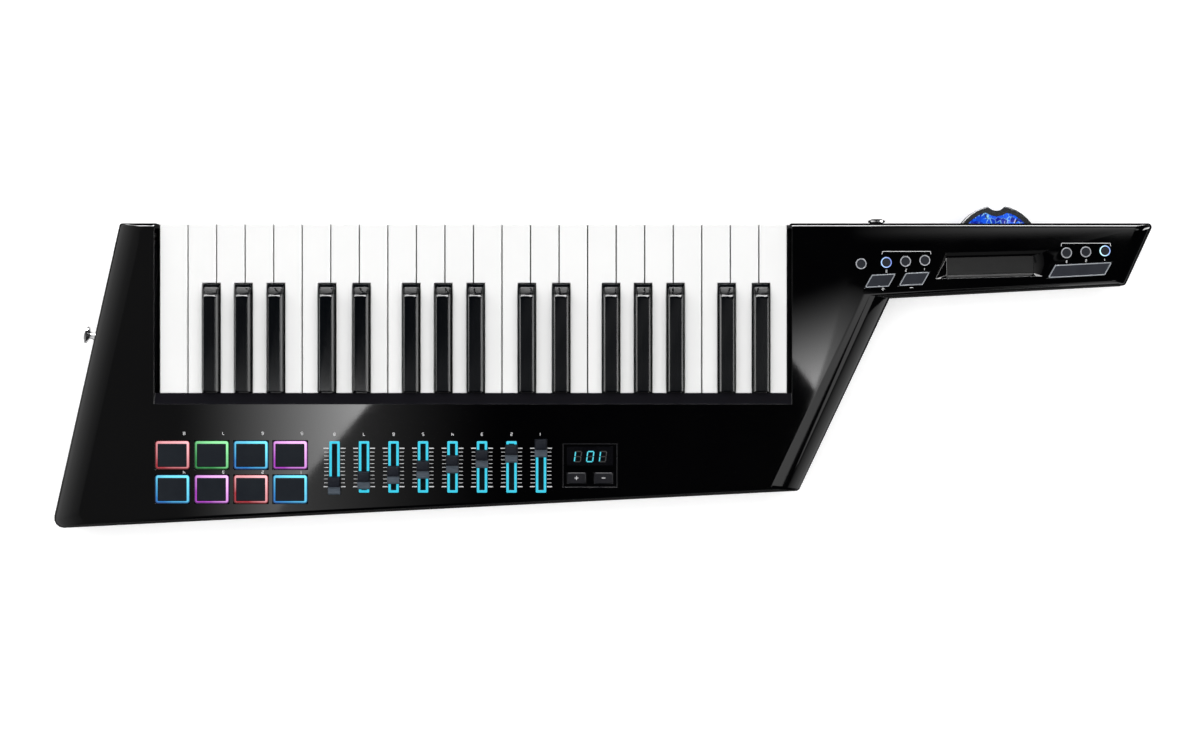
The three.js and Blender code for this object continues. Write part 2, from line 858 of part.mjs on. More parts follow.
function topCover() {
  const foot = partingHeight + partingGap / 2;
  const outer = topBlock(0, 0, foot);
  const hollow = topBlock(wall, panelThickness, foot - overrun);
  const slotLeft = -slotSideGap;
  const slotRight = keybedLength + slotSideGap;
  const above = panelHeight + overrun;
  const frame = block(slotLeft - wall, slotRight + wall, -slotDepth, overrun, foot, panelHeight);
  const slot = block(slotLeft, slotRight, -slotDepth, overrun, foot - overrun, above);
  const recessFloor = panelHeight - stripSink;
  const recessUnderside = recessFloor - recessWall;
  const recessBoss = raised(recessCorners(recessWall), recessUnderside, panelUnderside + overrun);
  const bosses = screwBosses(foot, panelHeight).map((boss) => boss.intersect(outer));
  const shell = joined([
    outer.subtract(hollow),
    frame.intersect(outer),
    recessBoss.intersect(outer),
    ...bosses,
  ]);
  const through = (corners) => raised(corners, recessUnderside - overrun, above);
  const cutters = [
    slot,
    ...padPlaces.map((place) => through(padCorners(place, fitGap))),
    ...Array.from({ length: faderCount }, (_, index) => {
      const x = faderX(index);
      const half = (faderTravel + faderStemLength) / 2 + fitGap;
      const y = -faderMiddleSetback;
      const side = faderSlotWidth / 2;
      return through(rectangle(x - side, x + side, y - half, y + half));
    }),
    raised(
      rectangle(
        displayX - displayWidth / 2,
        displayX + displayWidth / 2,
        -displaySetback - displayHeight / 2,
        -displaySetback + displayHeight / 2,
      ),
      panelHeight - displaySink,
      above,
    ),
    through(presetCorners(-1, fitGap)),
    through(presetCorners(1, fitGap)),
    ...roundPlaces.map(({ x, y }) =>
      post(x, y, roundRadius + fitGap, panelUnderside - overrun, above),
    ),
    ...barButtons.map(({ start, length }) => through(barCorners(start, length, fitGap))),
    through(stripCorners(fitGap)),
    loft([
      levelRing(stripCorners(fitGap), recessFloor),
      levelRing(recessCorners(0), panelHeight),
      levelRing(recessCorners(0), above),
    ]),
    ...screwPlaces.map(({ x, y }) =>
      post(x, y, bossBore, foot - overrun, panelUnderside - frontRollDrop, bossSides),
    ),
    wheelSlot(),
  ];
  return cutBy(shell, cutters).add(slotLip());
}

function rearCover() {
  const rim = partingHeight - partingGap / 2;
  const bodyShell = [bodyOutline, bodyRadii];
  const neckShell = [neckOutline, neckRadii];
  const outer = rearBlock(...bodyShell, 0, footHeight, rim, rearRoll, rearRollDrop).add(
    rearBlock(...neckShell, 0, neckBottom, rim, neckRearRoll, neckRearRollDrop),
  );
  const top = rim + overrun;
  const bodyFloor = footHeight + wall;
  const neckFloor = neckBottom + wall;
  const hollow = rearBlock(...bodyShell, wall, bodyFloor, top, rearRoll, rearRollDrop).add(
    rearBlock(...neckShell, wall, neckFloor, top, neckRearRoll, neckRearRollDrop),
  );
  const footOverlap = footHeight + wall / 2;
  const feet = footPlaceShares.map(([along, down]) =>
    post(along * keybedLength, -down * bodyDepth, footRadius, 0, footOverlap, roundSides, footTopRadius),
  );
  const ribTop = chassisHeight - fitGap;
  const ribs = [-chassisFrontSetback, pivotY].map((y) =>
    block(
      supportRibInset,
      keybedLength - supportRibInset,
      y - supportRibInset,
      y - supportRibInset + supportRibWidth,
      bodyFloor - overrun,
      ribTop,
    ),
  );
  const bosses = screwBosses(footHeight, rim).map((boss) => boss.intersect(outer));
  const doorLeft = doorX - doorLength / 2;
  const doorRight = doorX + doorLength / 2;
  const doorLow = -doorSetback - doorWidth / 2;
  const doorHigh = -doorSetback + doorWidth / 2;
  const recessTop = footHeight + doorThickness + fitGap;
  const bayTop = recessTop + bayDepth;
  const bayBlock = block(
    doorLeft - bayWall,
    doorRight + doorTravel + bayWall,
    doorLow - bayWall,
    doorHigh + bayWall,
    footHeight + wall / 2,
    bayTop + bayWall,
  );
  const doorRecess = block(
    doorLeft - fitGap,
    doorRight + doorTravel + fitGap,
    doorLow - fitGap,
    doorHigh + fitGap,
    footHeight - overrun,
    recessTop,
  );
  const bay = block(
    doorLeft + bayMargin,
    doorRight - bayMargin,
    doorLow + bayMargin,
    doorHigh - bayMargin,
    footHeight,
    bayTop,
  );
  const sill = block(
    -slotSideGap,
    keybedLength + slotSideGap,
    -2 * wall,
    overrun,
    keyFrontSill,
    top,
  );
  const wheelPost = post(
    wheelX,
    -wheelSetback,
    wheelPostRadius,
    neckFloor - wall / 2,
    wheelTop + wheelPostProud,
  );
  const cupDepth = pinLength - neckPinProud;
  const cupRadius = pinHeadRadius + pinCupMargin;
  const cup = alongY(neckPinX, 0, pinHeight, cupRadius + wall, -cupDepth - wall, -rearDraft);
  const cupHollow = alongY(neckPinX, 0, pinHeight, cupRadius, -cupDepth, overrun);
  const wells = screwPlaces.map(({ x, y }) => {
    const bottom = x > innerCorner.x ? neckBottom : footHeight;
    return post(x, y, screwWellRadius, bottom - overrun, bottom + screwWellDepth, bossSides).add(
      post(x, y, bossBore, bottom, top, bossSides),
    );
  });
  const shell = joined([
    outer.subtract(hollow),
    ...feet,
    ...ribs,
    ...bosses,
    bayBlock,
    wheelPost,
    cup.intersect(outer),
  ]);
  return cutBy(shell, [doorRecess, bay, sill, cupHollow, wheelSlot(), ...wells]);
}

// A cylinder that lies along Y, from y0 to y1 past its foot
function alongY(x, y, z, radius, y0, y1) {
  const geometry = new THREE.CylinderGeometry(radius, radius, y1 - y0, pinSides);
  geometry.translate(x, y + (y0 + y1) / 2, z);
  return solidOf(geometry);
}

function batteryDoor() {
  const left = doorX - doorLength / 2;
  const right = doorX + doorLength / 2;
  const low = -doorSetback - doorWidth / 2;
  const high = -doorSetback + doorWidth / 2;
  const plate = block(left, right, low, high, footHeight, footHeight + doorThickness);
  const tongue = block(
    left + bayMargin + fitGap,
    left + bayMargin + doorTongue,
    low + bayMargin + fitGap,
    high - bayMargin - fitGap,
    footHeight + doorThickness / 2,
    footHeight + doorThickness + doorTongueThickness,
  );
  const grips = Array.from({ length: doorGripCount }, (_, index) => {
    const x = right - bayMargin - index * doorGripPitch;
    return block(
      x - doorGripWidth,
      x,
      -doorSetback - doorGripLength / 2,
      -doorSetback + doorGripLength / 2,
      footHeight - overrun,
      footHeight + doorGripDepth,
    );
  });
  return cutBy(plate.add(tongue), grips);
}

// The silicone sheet with eight pads, each a lit rim round a raised face
function padMat() {
  const first = padPlaces[0];
  const last = padPlaces[padPlaces.length - 1];
  const sheet = block(
    first.x - padWidth / 2 - matMargin,
    last.x + padWidth / 2 + matMargin,
    last.y - padDepth / 2 - matMargin,
    first.y + padDepth / 2 + matMargin,
    seatHeight - matThickness,
    seatHeight,
  );
  const rimTop = panelHeight + padRise - padStep;
  const pads = padPlaces.map((place) => {
    const rim = keycap(
      padCorners(place, 0),
      padCorner,
      padEdge,
      seatHeight - matThickness / 2,
      rimTop,
    );
    const faceCorners = padCorners(place, -padRim);
    const face = keycap(faceCorners, padEdge, padEdge, seatHeight, rimTop + padStep, 1);
    return rim.add(face);
  });
  return joined([sheet, ...pads]);
}

// The silicone keypad of the neck: round caps on a sheet that passes above the touch strip
function neckButtonMat() {
  const sheetBottom = seatHeight - matThickness;
  const low = barRow + barHeight + buttonFlange + runningGap;
  const high = stripRow + stripHeight + recessUpperMargin + recessWall + matWebSetback + matWebHeight;
  const webLow = high - matWebHeight;
  const sheet = (from, to, bottom) =>
    raised(
      [onNeck(from, bottom), onNeck(to, bottom), onNeck(to, high), onNeck(from, high)],
      sheetBottom,
      seatHeight,
    );
  const margin = roundRadius + matSideMargin / 2;
  const firstTo = leftTrioStart + (trioCount - 1) * roundPitch + margin;
  const lastTo = rightTrioStart + (trioCount - 1) * roundPitch + margin;
  const sheets = [
    sheet(leftTrioStart - loneRoundStep - margin, firstTo, low),
    sheet(rightTrioStart - margin, lastTo, low),
    sheet(firstTo - matSideMargin, rightTrioStart, webLow),
  ];
  const capTop = panelHeight + roundRise;
  const caps = roundPlaces.map(({ x, y }) => {
    const skirt = post(x, y, roundRadius, sheetBottom, capTop - buttonEdge);
    const crown = post(
      x,
      y,
      roundRadius,
      capTop - buttonEdge,
      capTop,
      roundSides,
      roundRadius - buttonEdge,
    );
    return skirt.add(crown);
  });
  return joined([...sheets, ...caps]);
}

// A push button that fills its hole and is kept in by a flange under the panel
function pushButton(cornersAt, rise, corner) {
  const cap = keycap(
    cornersAt(0),
    corner,
    buttonEdge,
    seatHeight - flangeThickness,
    panelHeight + rise,
  );
  return raised(cornersAt(buttonFlange), seatHeight - flangeThickness, seatHeight).add(cap);
}

// A fader cap: a ridge with a lower step in front of it, on a stem through the panel
function faderCap(index) {
  const x = faderX(index);
  const y = faderRestY(index);
  const half = faderCapLength / 2;
  const bottom = panelHeight + faderCapLift;
  const heightShares = { foot: 0.32, ridge: 1, step: 0.56, shoulder: 0.7 };
  const lengthShares = { ridge: 0.14, groove: 0.1, shoulder: 0.86 };
  const at = (along, up) => point(y + along * half, bottom + up * faderCapHeight);
  const profile = [
    at(-1, 0),
    at(1, 0),
    at(1, heightShares.foot),
    at(lengthShares.shoulder, heightShares.shoulder),
    at(lengthShares.ridge, heightShares.ridge),
    at(-lengthShares.groove, heightShares.ridge),
    at(-lengthShares.ridge, heightShares.step),
    at(-lengthShares.shoulder, heightShares.foot),
  ];
  const wide = drawn(profile, x - faderCapWidth / 2, x + faderCapWidth / 2);
  const taper = loft([
    ring(
      rectangle(x - faderCapWidth / 2, x + faderCapWidth / 2, y - half, y + half),
      [0, 0, 0, 0],
      [0, 0, 0, 0],
      bottom,
    ),
    ring(
      rectangle(x - faderCapWidth / 2, x + faderCapWidth / 2, y - half, y + half),
      [0, faderCapTaper, 0, faderCapTaper],
      [0, 0, 0, 0],
      bottom + faderCapHeight,
    ),
  ]);
  const stemHalf = faderStemLength / 2;
  const stemSide = faderSlotWidth / 2 - fitGap;
  const stem = block(
    x - stemSide,
    x + stemSide,
    y - stemHalf,
    y + stemHalf,
    panelHeight - faderStemDepth,
    bottom + faderCapLift,
  );
  return wide.intersect(taper).add(stem);
}

// The touch strip: a plate at the bottom of the recess, with a flange under it
function touchStrip() {
  const recessFloor = panelHeight - stripSink;
  const under = recessFloor - recessWall - fitGap;
  const plate = raised(stripCorners(0), under - flangeThickness, recessFloor);
  const flange = raised(stripCorners(buttonFlange), under - flangeThickness, under);
  return plate.add(flange);
}

// The pitch wheel: half a disc with a rim, a ribbed web, a hub and a thumb notch
function pitchWheel() {
  const half = wheelThickness / 2;
  const web = wheelWebThickness / 2;
  const profile = [
    point(0, -web),
    point(wheelRadius - wheelRim, -web),
    point(wheelRadius - wheelRim, -half),
    point(wheelRadius - wheelEdge, -half),
    point(wheelRadius, -half + wheelEdge),
    point(wheelRadius, half - wheelEdge),
    point(wheelRadius - wheelEdge, half),
    point(wheelRadius - wheelRim, half),
    point(wheelRadius - wheelRim, web),
    point(0, web),
  ];
  const turned = new THREE.LatheGeometry(profile, wheelSides);
  turned.rotateX(Math.PI / 2);
  const ribStart = wheelHubRadius - wheelRim / 2;
  const ribReach = wheelRadius - wheelRim / 2 - ribStart;
  const ribs = Array.from({ length: wheelRibCount }, (_, index) => {
    const rib = new THREE.BoxGeometry(ribReach, wheelRibWidth, wheelThickness - 2 * wheelEdge);
    rib.translate(ribStart + ribReach / 2, 0, 0);
    rib.rotateZ((Math.PI * (index + 1)) / (wheelRibCount + 1));
    return solidOf(rib);
  });
  const beyond = wheelRadius + overrun;
  const upper = block(-beyond, beyond, -wheelFlat, beyond, -wheelThickness, wheelThickness);
  const hub = post(0, 0, wheelHubRadius, -half, half);
  const bore = post(0, 0, wheelPostRadius + fitGap, -wheelThickness, wheelThickness);
  const notchY = wheelRadius - thumbNotchDepth + thumbNotchRadius;
  const notch = post(0, notchY, thumbNotchRadius, -wheelThickness, wheelThickness, wheelSides);
  const within = post(0, 0, wheelRadius - wheelEdge, -half, half, wheelSides);
  const notchRim = post(0, notchY, thumbNotchRadius + wheelRim, -half, half, wheelSides);
  const disc = joined([solidOf(turned), ...ribs, notchRim.intersect(within)]).intersect(upper);
  return cutBy(disc.add(hub), [bore, notch]);
}

// A strap pin, turned about its own axis, with its base at zero
function strapPin() {
  const headBottom = pinLength - pinHeadThickness;
  const flatShare = 0.6;
  const waist = (pinBaseThickness + headBottom) / 2;
  const profile = [
    point(0, 0),
    point(pinBaseRadius, 0),
    point(pinBaseRadius, pinBaseThickness),
    point(pinStemRadius, waist),
    point(pinStemRadius, (waist + headBottom) / 2),
    point(pinHeadRadius, headBottom),
    point(pinHeadRadius, headBottom + pinHeadThickness / 2),
    point(pinHeadRadius * flatShare, pinLength),
    point(0, pinLength),
  ];
  return solidOf(new THREE.LatheGeometry(profile, pinSides));
}

// Puts a strap pin on the place where it is screwed, with its axis along the outward direction
function placePin(mesh, x, y, outward) {
  mesh.position.set(x, y, pinHeight);
  mesh.quaternion.setFromUnitVectors(
    new THREE.Vector3(0, 1, 0),
    new THREE.Vector3(outward.x, outward.y, 0),
  );
  return mesh;
}

function strapPins() {
  const edge = bodyBottomLeft.clone().sub(bodyTopLeft).normalize();
  const outward = point(edge.y, -edge.x);
  const seat = bodyTopLeft.clone().addScaledVector(edge, -endPinSetback / edge.y);
  seat.addScaledVector(outward, fitGap);
  const end = piece("strap_pin_end", strapPin(), chrome);
  const neck = piece("strap_pin_neck", strapPin(), chrome);
  return [
    placePin(end, seat.x, seat.y, outward),
    placePin(neck, neckPinX, neckPinProud - pinLength + fitGap, point(0, 1)),
  ];
}

// The whole instrument
const instrument = new THREE.Group();
instrument.add(piece("rear_cover", rearCover(), matteBlack));
instrument.add(piece("top_cover", topCover(), glossBlack));
instrument.add(piece("key_chassis", keyChassis(), chassisGrey));
instrument.add(piece("battery_door", batteryDoor(), matteBlack));
instrument.add(piece("pad_mat", padMat(), padRubber));
instrument.add(piece("neck_button_mat", neckButtonMat(), keypadRubber));
instrument.add(piece("touch_strip", touchStrip(), stripPlastic));
instrument.add(...strapPins());

const twoDigits = (number) => String(number).padStart(2, "0");
for (let index = 0; index < whiteKeyCount; index += 1) {
  instrument.add(piece(`white_key_${twoDigits(index + 1)}`, whiteKey(index), whiteGloss));
}
const blackCentres = Array.from({ length: whiteKeyCount }, (_, index) => blackCentre(index));
blackCentres
  .filter((centre) => centre !== null)
  .forEach((centre, index) => {
    instrument.add(piece(`black_key_${twoDigits(index + 1)}`, blackKey(centre), blackKeyPlastic));
  });

for (let index = 0; index < faderCount; index += 1) {
  instrument.add(piece(`fader_cap_${index + 1}`, faderCap(index), faderPlastic));
}
barButtons.forEach(({ name, start, length }) => {
  const cornersAt = (grow) => barCorners(start, length, grow);
  instrument.add(piece(name, pushButton(cornersAt, buttonRise, buttonCorner), slatePlastic));
});
[
  ["preset_up_button", -1],
  ["preset_down_button", 1],
].forEach(([name, side]) => {
  const cornersAt = (grow) => presetCorners(side, grow);
  const cap = pushButton(cornersAt, presetRise - displaySink, presetCorner);
  instrument.add(piece(name, cap, silverPlastic));
});

const wheel = piece("pitch_wheel", pitchWheel(), wheelPlastic);
wheel.position.set(wheelX, -wheelSetback, wheelMiddleHeight);
instrument.add(wheel);

// The origin is under the middle of the whole part, on the surface that its feet stand on
const extent = new THREE.Box3().setFromObject(instrument);
const middle = extent.getCenter(new THREE.Vector3());
instrument.position.set(-middle.x, -middle.y, -extent.min.z);

const keytar = new THREE.Group();
keytar.name = "keytar";
keytar.add(instrument);

export default keytar;
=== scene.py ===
import math

import bpy
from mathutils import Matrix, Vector, noise


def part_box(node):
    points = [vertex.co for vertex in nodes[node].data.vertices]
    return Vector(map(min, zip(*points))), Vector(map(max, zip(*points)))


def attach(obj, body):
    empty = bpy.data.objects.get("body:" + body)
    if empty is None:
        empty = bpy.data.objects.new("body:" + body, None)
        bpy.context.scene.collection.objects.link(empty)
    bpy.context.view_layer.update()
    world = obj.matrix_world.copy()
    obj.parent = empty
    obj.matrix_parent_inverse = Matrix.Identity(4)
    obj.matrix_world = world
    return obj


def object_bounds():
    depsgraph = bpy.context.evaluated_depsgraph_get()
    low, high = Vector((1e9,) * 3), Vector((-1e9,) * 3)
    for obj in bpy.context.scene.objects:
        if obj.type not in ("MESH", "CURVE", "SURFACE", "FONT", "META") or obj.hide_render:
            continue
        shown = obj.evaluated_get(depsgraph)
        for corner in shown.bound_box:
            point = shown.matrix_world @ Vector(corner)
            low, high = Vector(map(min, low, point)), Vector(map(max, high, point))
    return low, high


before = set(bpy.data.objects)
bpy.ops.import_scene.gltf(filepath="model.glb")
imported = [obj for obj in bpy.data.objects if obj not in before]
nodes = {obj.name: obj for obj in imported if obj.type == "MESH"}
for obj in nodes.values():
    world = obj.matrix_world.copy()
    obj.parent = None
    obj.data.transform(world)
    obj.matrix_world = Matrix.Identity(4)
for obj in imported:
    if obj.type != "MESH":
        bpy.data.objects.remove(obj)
cad_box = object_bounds()
scene = bpy.context.scene
MM = 0.001

# The drawing, in millimetres: zero lies at the front of the white keys, at the left end of the keys
KEY_PITCH = 23.5
KEY_GAP = 1.0
KEYBED = KEY_PITCH * 22
PANEL = 58.0
WHITE_TOP = 51.0
INK = 0.05
origin_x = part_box("white_key_01")[0].x / MM - KEY_GAP / 2
origin_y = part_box("white_key_01")[1].y / MM


def place(x, y, z):
    """A point of the drawing as a place in the frame."""
    return Vector(((x + origin_x) * MM, (y + origin_y) * MM, z * MM))


def middle_of(name):
    """The middle of a CAD node's box on the drawing, and the height of its top."""
    low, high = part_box(name)
    x = (low.x + high.x) / 2 / MM - origin_x
    y = (low.y + high.y) / 2 / MM - origin_y
    return x, y, high.z / MM


# ---------------------------------------------------------------- camera

CAMERA_HEIGHT = 2.25
PHOTO_WIDTH, PHOTO_HEIGHT = 1200, 750
SCALE = 0.8231  # millimetres per pixel at the height of the white keys
LEFT_END = 159.35  # the pixel column where the keys begin
TOP_EDGE = 224.0  # the pixel row of the white keys' fronts
SENSOR = 36.0
FAR_CLIP = 20

middle = place((PHOTO_WIDTH / 2 - LEFT_END) * SCALE, (TOP_EDGE - PHOTO_HEIGHT / 2) * SCALE, 0)
reach = CAMERA_HEIGHT - WHITE_TOP * MM
camera_data = bpy.data.cameras.new("camera")
camera_data.sensor_width = SENSOR
camera_data.lens = SENSOR * reach / (PHOTO_WIDTH * SCALE * MM)
camera_data.clip_end = FAR_CLIP
camera = bpy.data.objects.new("camera", camera_data)
camera.location = (middle.x, middle.y, CAMERA_HEIGHT)
scene.collection.objects.link(camera)
scene.camera = camera
scene.view_settings.view_transform = "Standard"


def seen_at(px, py, height):
    """The place at a height (mm) that the camera sees at a pixel."""
    share = (CAMERA_HEIGHT - height * MM) / reach
    x = camera.location.x + (px - PHOTO_WIDTH / 2) * SCALE * MM * share
    y = camera.location.y - (py - PHOTO_HEIGHT / 2) * SCALE * MM * share
    return Vector((x, y, height * MM))


def drawn_at(px, py):
    """The point of the drawing that the camera sees on the panel at a pixel."""
    seen = seen_at(px, py, PANEL)
    return seen.x / MM - origin_x, seen.y / MM - origin_y


# ---------------------------------------------------------------- materials


class Shading:
    """A node tree, with short calls for the nodes that the materials, cards and sky share."""

    def __init__(self, owner):
        owner.use_nodes = True
        self.nodes = owner.node_tree.nodes
        self.links = owner.node_tree.links

    def fill(self, node, inputs):
        """Gives each named input the output of another node, or a plain value."""
        for key, value in inputs.items():
            if isinstance(value, bpy.types.NodeSocket):
                self.links.new(value, node.inputs[key])
            else:
                node.inputs[key].default_value = value
        return node

    def node(self, kind, inputs, **settings):
        made = self.nodes.new(kind)
        for name, value in settings.items():
            setattr(made, name, value)
        return self.fill(made, inputs)

    def where(self, kind="Object"):
        return self.nodes.new("ShaderNodeTexCoord").outputs[kind]

    def axis(self, name, kind="Object"):
        return self.node("ShaderNodeSeparateXYZ", {"Vector": self.where(kind)}).outputs[name]

    def ray(self, kind):
        return self.nodes.new("ShaderNodeLightPath").outputs[kind]

    def noise(self, scale, detail=3.0, rough=0.55):
        inputs = {"Vector": self.where(), "Scale": scale, "Detail": detail, "Roughness": rough}
        return self.node("ShaderNodeTexNoise", inputs).outputs["Fac"]

    def ramp(self, value, low, high, to_low, to_high):
        inputs = {
            "Value": value,
            "From Min": low,
            "From Max": high,
            "To Min": to_low,
            "To Max": to_high,
        }
        return self.node("ShaderNodeMapRange", inputs).outputs["Result"]

    def compute(self, operation, *terms):
        """The result of one mathematical operation."""
        made = self.node("ShaderNodeMath", dict(enumerate(terms)), operation=operation)
        return made.outputs["Value"]

    def mix(self, factor, dark, light, kind="RGBA"):
        inputs = {"Factor": factor, "A": dark, "B": light}
        return self.node("ShaderNodeMix", inputs, data_type=kind).outputs["Result"]


def opaque(colour):
    return (*colour, 1)


def new_material(name):
    material = bpy.data.materials.new(name)
    shading = Shading(material)
    return material, shading, shading.nodes["Principled BSDF"]


NOISE_SPAN = (0.3, 0.7)  # the part of a noise's range that shows
WEAR_FINENESS = 7
BUMP_DEPTH = 0.0002
EDGE_SAMPLES = 6


def surface(
    name, dark, light, rough, grain, bump, cloud, metal=0.0, ior=1.5, specular=0.5, edge=0.0
):
    """A plastic, rubber or metal. Its colour drifts from dark to light in clouds, its gloss runs
    between two roughnesses, and it has a fine grain. Where edge gives their radius, its edges catch
    the light as rounded ones do. Cloud and grain are counts per metre."""
    material, shading, shader = new_material(name)
    drift = shading.ramp(shading.noise(cloud, 4.0), *NOISE_SPAN, 0, 1)
    wear = shading.noise(cloud * WEAR_FINENESS, 5.0, 0.65)
    relief = {"Strength": bump, "Distance": BUMP_DEPTH, "Height": shading.noise(grain, 2.0)}
    if edge:
        worn = shading.node("ShaderNodeBevel", {"Radius": edge}, samples=EDGE_SAMPLES)
        relief["Normal"] = worn.outputs["Normal"]
    looks = {
        "Base Color": shading.mix(drift, opaque(dark), opaque(light)),
        "Roughness": shading.ramp(wear, *NOISE_SPAN, *rough),
        "Normal": shading.node("ShaderNodeBump", relief).outputs["Normal"],
        "Metallic": metal,
        "IOR": ior,
        "Specular IOR Level": specular,
    }
    shading.fill(shader, looks)
    return material


def matte_inside(material, low, high, colour, rough):
    """A matte finish without shine inside a box of the frame."""
    blend = 0.0002
    shading = Shading(material)
    shader = shading.nodes["Principled BSDF"]
    inside = None
    for axis, a, b in zip("XYZ", low, high):
        for edge, sign in ((a, 1), (b, -1)):
            side = shading.ramp(shading.axis(axis), edge - sign * blend, edge, 0, 1)
            inside = side if inside is None else shading.compute("MULTIPLY", inside, side)
    colour_before = shader.inputs["Base Color"].links[0].from_socket
    rough_before = shader.inputs["Roughness"].links[0].from_socket
    shine_before = shader.inputs["Specular IOR Level"].default_value
    looks = {
        "Base Color": shading.mix(inside, colour_before, opaque(colour)),
        "Roughness": shading.mix(inside, rough_before, rough, "FLOAT"),
        "Specular IOR Level": shading.ramp(inside, 0, 1, shine_before, 0.0),
    }
    shading.fill(shader, looks)


def dull_slope(material, foot, tip):
    """Less shine on the black keys' front slope, the least at its foot."""
    blend = 0.0005
    shading = Shading(material)
    behind = shading.ramp(shading.axis("Y"), foot - blend, foot, 0.5, 0.0)
    ahead = shading.ramp(shading.axis("Y"), foot, tip, 0.01, 0.3)
    shine = shading.compute("MAXIMUM", behind, ahead)
    shading.fill(shading.nodes["Principled BSDF"], {"Specular IOR Level": shine})


def glow(name, dim, bright, strength, slope=(0.0, 0.0), level=0.5, mottle=60.0):
    """A lit light guide. Its light grows by a slope across its box, and drifts round a level."""
    drift = 0.12
    material, shading, shader = new_material(name)
    across, up = (
        shading.ramp(shading.axis(axis, "Generated"), 0, 1, -rise / 2, rise / 2)
        for axis, rise in zip("XY", slope)
    )
    patches = shading.noise(mottle, 2.0)
    mottled = shading.ramp(patches, *NOISE_SPAN, level - drift, level + drift)
    total = shading.compute("ADD", shading.compute("ADD", across, up), mottled)
    looks = {
        "Emission Color": shading.mix(total, opaque(dim), opaque(bright)),
        "Emission Strength": strength,
        "Base Color": (0.02, 0.02, 0.02, 1),
        "Roughness": 0.4,
    }
    shading.fill(shader, looks)
    return material


def sparkle(name, deep, blue, ray):
    """A lit faceted lens: cells of deep and bright blue, parted by rays of near white."""
    cells_per_metre = 230
    material, shading, shader = new_material(name)
    cell_inputs = {"Vector": shading.where(), "Scale": cells_per_metre}
    cells = shading.node("ShaderNodeTexVoronoi", cell_inputs)
    borders = shading.node("ShaderNodeTexVoronoi", cell_inputs, feature="DISTANCE_TO_EDGE")
    shade = shading.node("ShaderNodeSeparateColor", {"Color": cells.outputs["Color"]})
    tone = shading.ramp(shade.outputs["Red"], 0.1, 0.85, 0, 1)
    body = shading.mix(tone, opaque(deep), opaque(blue))
    thin = shading.ramp(borders.outputs["Distance"], 0.0, 0.09, 1, 0)
    here = shading.ramp(shading.noise(130, 3.0), 0.46, 0.62, 0, 1)
    looks = {
        "Emission Color": shading.mix(shading.compute("MULTIPLY", thin, here), body, opaque(ray)),
        "Emission Strength": 1.0,
        "Base Color": (0.004, 0.008, 0.03, 1),
        "Roughness": 0.15,
    }
    shading.fill(shader, looks)
    return material


gloss = surface(
    "front_gloss", (0.0004, 0.0004, 0.0006), (0.0012, 0.0012, 0.0014),
    rough=(0.02, 0.036), grain=900, bump=0.004, cloud=6, edge=0.0004,
)
shell = surface(
    "rear_shell", (0.011, 0.011, 0.012), (0.017, 0.017, 0.018),
    rough=(0.48, 0.62), grain=1500, bump=0.5, cloud=14,
)
chassis = surface(
    "chassis", (0.022, 0.022, 0.023), (0.034, 0.034, 0.034),
    rough=(0.5, 0.65), grain=900, bump=0.35, cloud=20,
)
white = surface(
    "white_key", (0.865, 0.865, 0.86), (0.89, 0.89, 0.885),
    rough=(0.16, 0.24), grain=500, bump=0.012, cloud=18,
)
black = surface(
    "black_key", (0.0012, 0.0016, 0.0025), (0.002, 0.0025, 0.0035),
    rough=(0.07, 0.11), grain=1800, bump=0.01, cloud=40, ior=1.42, edge=0.0005,
)
pad_rubber = surface(
    "pad_rubber", (0.0085, 0.011, 0.0155), (0.0115, 0.0145, 0.019),
    rough=(0.55, 0.7), grain=2200, bump=0.3, cloud=60, specular=0.06,
)
keypad_rubber = surface(
    "keypad_rubber", (0.011, 0.0125, 0.018), (0.017, 0.019, 0.026),
    rough=(0.5, 0.62), grain=2200, bump=0.25, cloud=60, specular=0.12,
)
cap_plastic = surface(
    "fader_cap", (0.0065, 0.008, 0.012), (0.0095, 0.011, 0.016),
    rough=(0.4, 0.52), grain=1600, bump=0.2, cloud=70, specular=0.03,
)
# The ridged grip is real, but its lighter grey is painted sheen, standing for the light that the
# sloped step catches
grip_painted_sheen = surface(
    "fader_grip", (0.062, 0.078, 0.098), (0.085, 0.104, 0.128),
    rough=(0.35, 0.5), grain=1600, bump=0.2, cloud=90, specular=0.12,
)
neck_button = surface(
    "neck_button", (0.018, 0.02, 0.028), (0.024, 0.027, 0.036),
    rough=(0.34, 0.46), grain=1600, bump=0.15, cloud=50, specular=0.12,
)
preset_button = surface(
    "preset_button", (0.008, 0.008, 0.0105), (0.013, 0.013, 0.016),
    rough=(0.3, 0.42), grain=1600, bump=0.15, cloud=60, specular=0.12,
)
strip_film = surface(
    "touch_strip", (0.013, 0.013, 0.013), (0.018, 0.018, 0.018),
    rough=(0.32, 0.42), grain=1400, bump=0.08, cloud=12, specular=0.28,
)
smoke = surface(
    "wheel", (0.016, 0.017, 0.02), (0.024, 0.026, 0.03),
    rough=(0.22, 0.32), grain=700, bump=0.05, cloud=60,
)
chrome = surface(
    "chrome", (0.62, 0.62, 0.63), (0.72, 0.72, 0.73),
    rough=(0.06, 0.16), grain=900, bump=0.03, cloud=120, metal=1.0,
)
screw_steel = surface(
    "screw_steel", (0.05, 0.05, 0.055), (0.09, 0.09, 0.095),
    rough=(0.25, 0.4), grain=900, bump=0.1, cloud=200, metal=1.0,
)
print_ink = surface(
    "print_white", (0.6, 0.6, 0.61), (0.72, 0.72, 0.73),
    rough=(0.45, 0.6), grain=1800, bump=0.1, cloud=300,
)
ring_ink = surface(
    "ring_white", (0.3, 0.31, 0.34), (0.42, 0.43, 0.46),
    rough=(0.3, 0.45), grain=1800, bump=0.1, cloud=300,
)
outline_ink = surface(
    "outline_ink", (0.24, 0.26, 0.29), (0.33, 0.35, 0.38),
    rough=(0.35, 0.5), grain=1800, bump=0.1, cloud=300,
)
